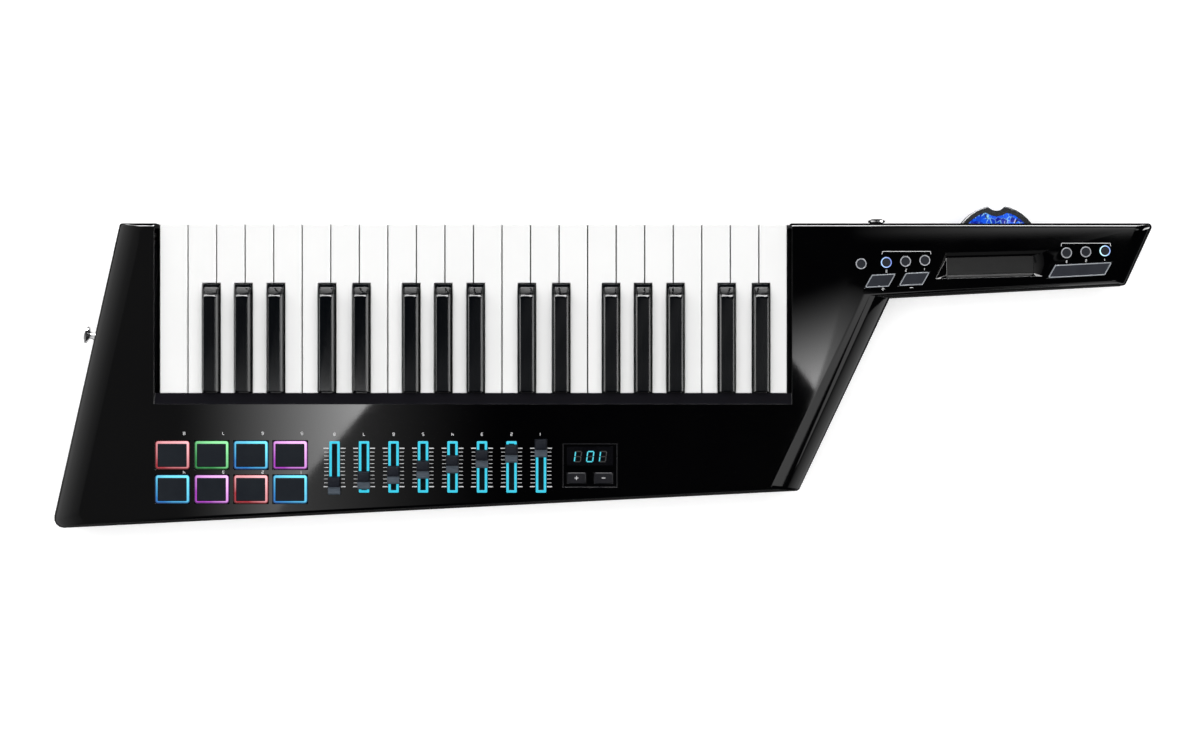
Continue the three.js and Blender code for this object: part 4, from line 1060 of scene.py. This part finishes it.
# What the panel shows: a sheen that ends at a slanting line, and another one beside the heel
overhead_card(
    "card_lower_left",
    ((20, 200), (154, 200), (154, 396), (376, 396), (280, 508), (270, 560), (20, 560)),
    squared("X", 172, 366, 8.0, 0.13),
)
overhead_card(
    "card_lower_middle",
    ((376.5, 396), (520, 396), (520, 560), (270.5, 560), (280.5, 508)),
    squared("X", 512, 290, 1.0),
)
overhead_card(
    "card_right",
    ((789, 352), (823, 399), (848, 333), (869.5, 275), (789, 275)),
    squared("Y", 284, 386, 7.2),
)

# The card beyond it, for the roll-off of the heel's edge: measured along that edge and away from it
HEEL_CORNER = Vector((870, 275))
DOWN_EDGE = Vector((-0.351, 0.936))
OFF_EDGE = Vector((0.936, 0.351))


def off_heel(down, away):
    return mirrored(*(HEEL_CORNER + DOWN_EDGE * down + OFF_EDGE * away))


def growing_slantwise(start, end, low, high):
    """A strength that changes evenly from one place to another, whatever their direction."""
    along = (end - start).normalized()

    def build(shading):
        inputs = {0: shading.where(), 1: along}
        dot = shading.node("ShaderNodeVectorMath", inputs, operation="DOT_PRODUCT").outputs["Value"]
        return shading.ramp(dot, start.dot(along), end.dot(along), low, high)

    return build


emitter(
    "card_right_edge",
    [off_heel(*p) for p in ((5, 0), (260, 0), (260, 700), (5, 700))],
    product(
        growing_slantwise(off_heel(22, 0), off_heel(110, 0), 0.0, 1.25),
        growing_slantwise(off_heel(0, 0), off_heel(0, 60), 2.2, 1.0),
    ),
)

# What the tops of the black keys show, and the top edge of the neck
overhead_card(
    "card_keys",
    ((170, 330), (788, 330), (788, 391), (170, 391)),
    squared("Y", 325, 384, 0.62),
)
overhead_card(
    "card_keys_right",
    ((380, 250), (788, 250), (788, 391), (380, 391)),
    squared("X", 360, 560, 0.36),
)
overhead_card(
    "card_neck_top",
    ((850, 205), (1500, 205), (1500, 240), (850, 240)),
    product(growing("X", *between_pixels("X", 850, 1140), 0.0, 1.0), squared("Y", 240, 224, 2.0)),
)

# Upright cards beyond the top edge: a strip for the edges, and one above it for the folds of the
# black keys; one beside the heel; and one at the right for the black keys' right edges
TOP_CARD_Y = 1.9
SIDE_CARD_X = 1.9


def far_card(name, x0, x1, z0, z1, strength):
    corners = [Vector((x, TOP_CARD_Y, z)) for x, z in ((x0, z1), (x1, z1), (x1, z0), (x0, z0))]
    emitter(name, corners, strength)


far_card("card_front", -1.5, 1.5, 0.02, 0.85, 24.0)
far_card("card_fold", -0.35, 0.45, 1.0, 1.5, growing("X", -0.22, 0.34, 0.0, 27.0))
HEEL_CARD = ((0.46, -0.3, 0.7), (0.46, -0.3, 0.001), (0.56, -0.07, 0.001), (0.56, -0.07, 0.7))
emitter("card_heel", [Vector(c) for c in HEEL_CARD], growing("Z", 0.05, 0.7, 1.8, 0.1))
emitter(
    "card_side",
    [Vector((SIDE_CARD_X, y, z)) for y, z in ((-0.2, 0.1), (0.32, 0.1), (0.32, 1.5), (-0.2, 1.5))],
    15.0,
)

# Dark flags on the floor round the foot of the body
FLAG_HEIGHT = 0.0006
BODY_TOP = origin_y * MM
BODY_LEFT, BODY_BOTTOM = cad_box[0].x, cad_box[0].y


def floor_flag(name, x0, x1, y0, y1, strength):
    corners = [Vector((x, y, FLAG_HEIGHT)) for x, y in ((x0, y0), (x1, y0), (x1, y1), (x0, y1))]
    emitter(name, corners, strength)


floor_flag("flag_top", -1.2, 1.2, BODY_TOP - 0.02, BODY_TOP + 0.6, 0.02)
floor_flag("flag_bottom", -0.6, 0.42, -0.9, BODY_BOTTOM + 0.05, 0.12)
floor_flag("flag_left", -1.3, BODY_LEFT + 0.03, -0.9, BODY_TOP - 0.02, 0.4)
floor_flag("flag_right", 0.15, 1.2, BODY_BOTTOM + 0.05, BODY_TOP - 0.02, 0.06)

# ---------------------------------------------------------------- lamps, floor and sky


def lamp(name, spot, size, power):
    """A soft lamp that looks at the middle of the frame and that gloss doesn't see."""
    data = bpy.data.lights.new(name, "AREA")
    data.shape = "RECTANGLE"
    data.size, data.size_y = size
    data.energy = power
    made = bpy.data.objects.new(name, data)
    made.location = spot
    made.rotation_euler = (-Vector(spot)).to_track_quat("-Z", "Y").to_euler()
    made.visible_camera = False
    made.visible_glossy = False
    scene.collection.objects.link(made)


lamp("lamp_overhead", (0.0, 0.1, 2.4), (3.4, 2.6), 62)
lamp("lamp_side", (-1.9, 1.2, 1.3), (1.2, 0.8), 8)

FLOOR = 6.0
FLOOR_LEVEL = -0.0002
FLOOR_PALENESS = 0.82
FLOOR_GLOW = 0.45  # lifts the floor to white where it is looked at, and lights nothing
floor_mesh = bpy.data.meshes.new("floor")
floor_corners = ((-1, -1), (1, -1), (1, 1), (-1, 1))
floor_points = [(x * FLOOR, y * FLOOR, FLOOR_LEVEL) for x, y in floor_corners]
floor_mesh.from_pydata(floor_points, [], [(0, 1, 2, 3)])
floor = bpy.data.objects.new("floor", floor_mesh)
scene.collection.objects.link(floor)
floor_material, shading, shader = new_material("floor")
looked_at = shading.compute("MAXIMUM", shading.ray("Is Camera Ray"), shading.ray("Is Glossy Ray"))
looked_at = shading.compute("MAXIMUM", looked_at, shading.ray("Is Transmission Ray"))
floor_looks = {
    "Base Color": (FLOOR_PALENESS, FLOOR_PALENESS, FLOOR_PALENESS, 1),
    "Roughness": 0.9,
    "Specular IOR Level": 0.1,
    "Emission Color": (1, 1, 1, 1),
    "Emission Strength": shading.compute("MULTIPLY", looked_at, FLOOR_GLOW),
}
shading.fill(shader, floor_looks)
floor_mesh.materials.append(floor_material)

SKY_LIGHT = 0.42
world = bpy.data.worlds.new("studio")
scene.world = world
sky = Shading(world)
sky.nodes.clear()


def sky_part(axis, near, far, power, strength):
    """Light that grows from one share of a direction to another, as a power."""
    rise = sky.ramp(sky.axis(axis, "Generated"), near, far, 0, 1)
    return sky.compute("MULTIPLY", sky.compute("POWER", rise, power), strength)


def background(strength):
    return sky.node("ShaderNodeBackground", {"Strength": strength}).outputs["Background"]


def chosen(factor, first, second):
    return sky.node("ShaderNodeMixShader", {"Fac": factor, 1: first, 2: second}).outputs["Shader"]


# What gloss sees: a pale side wall at the left, and horizons that are pale beyond the top edge and
# fainter on the near side. The rest gets an even light, and a direct look sees a pale backdrop.
wall_start, wall = sky_part("X", -0.125, -0.14, 1, 0.13), sky_part("X", -0.14, -1.0, 1.3, 1.5)
far_light, far_low = sky_part("Y", 0.1, 0.8, 1, 1.0), sky_part("Z", 0.62, 0.05, 1, 1.0)
near_light, near_low = sky_part("Y", -0.1, -0.8, 1, 0.25), sky_part("Z", 0.6, 0.05, 2, 1.0)
horizons = sky.compute(
    "ADD",
    sky.compute("MULTIPLY", far_light, far_low),
    sky.compute("MULTIPLY", near_light, near_low),
)
for_gloss = sky.compute("ADD", sky.compute("ADD", wall_start, wall), horizons)
looked_at = sky.compute("MAXIMUM", sky.ray("Is Camera Ray"), sky.ray("Is Transmission Ray"))
lighting = chosen(sky.ray("Is Glossy Ray"), background(SKY_LIGHT), background(for_gloss))
all_light = chosen(looked_at, lighting, background(1.0))
sky.node("ShaderNodeOutputWorld", {"Surface": all_light})
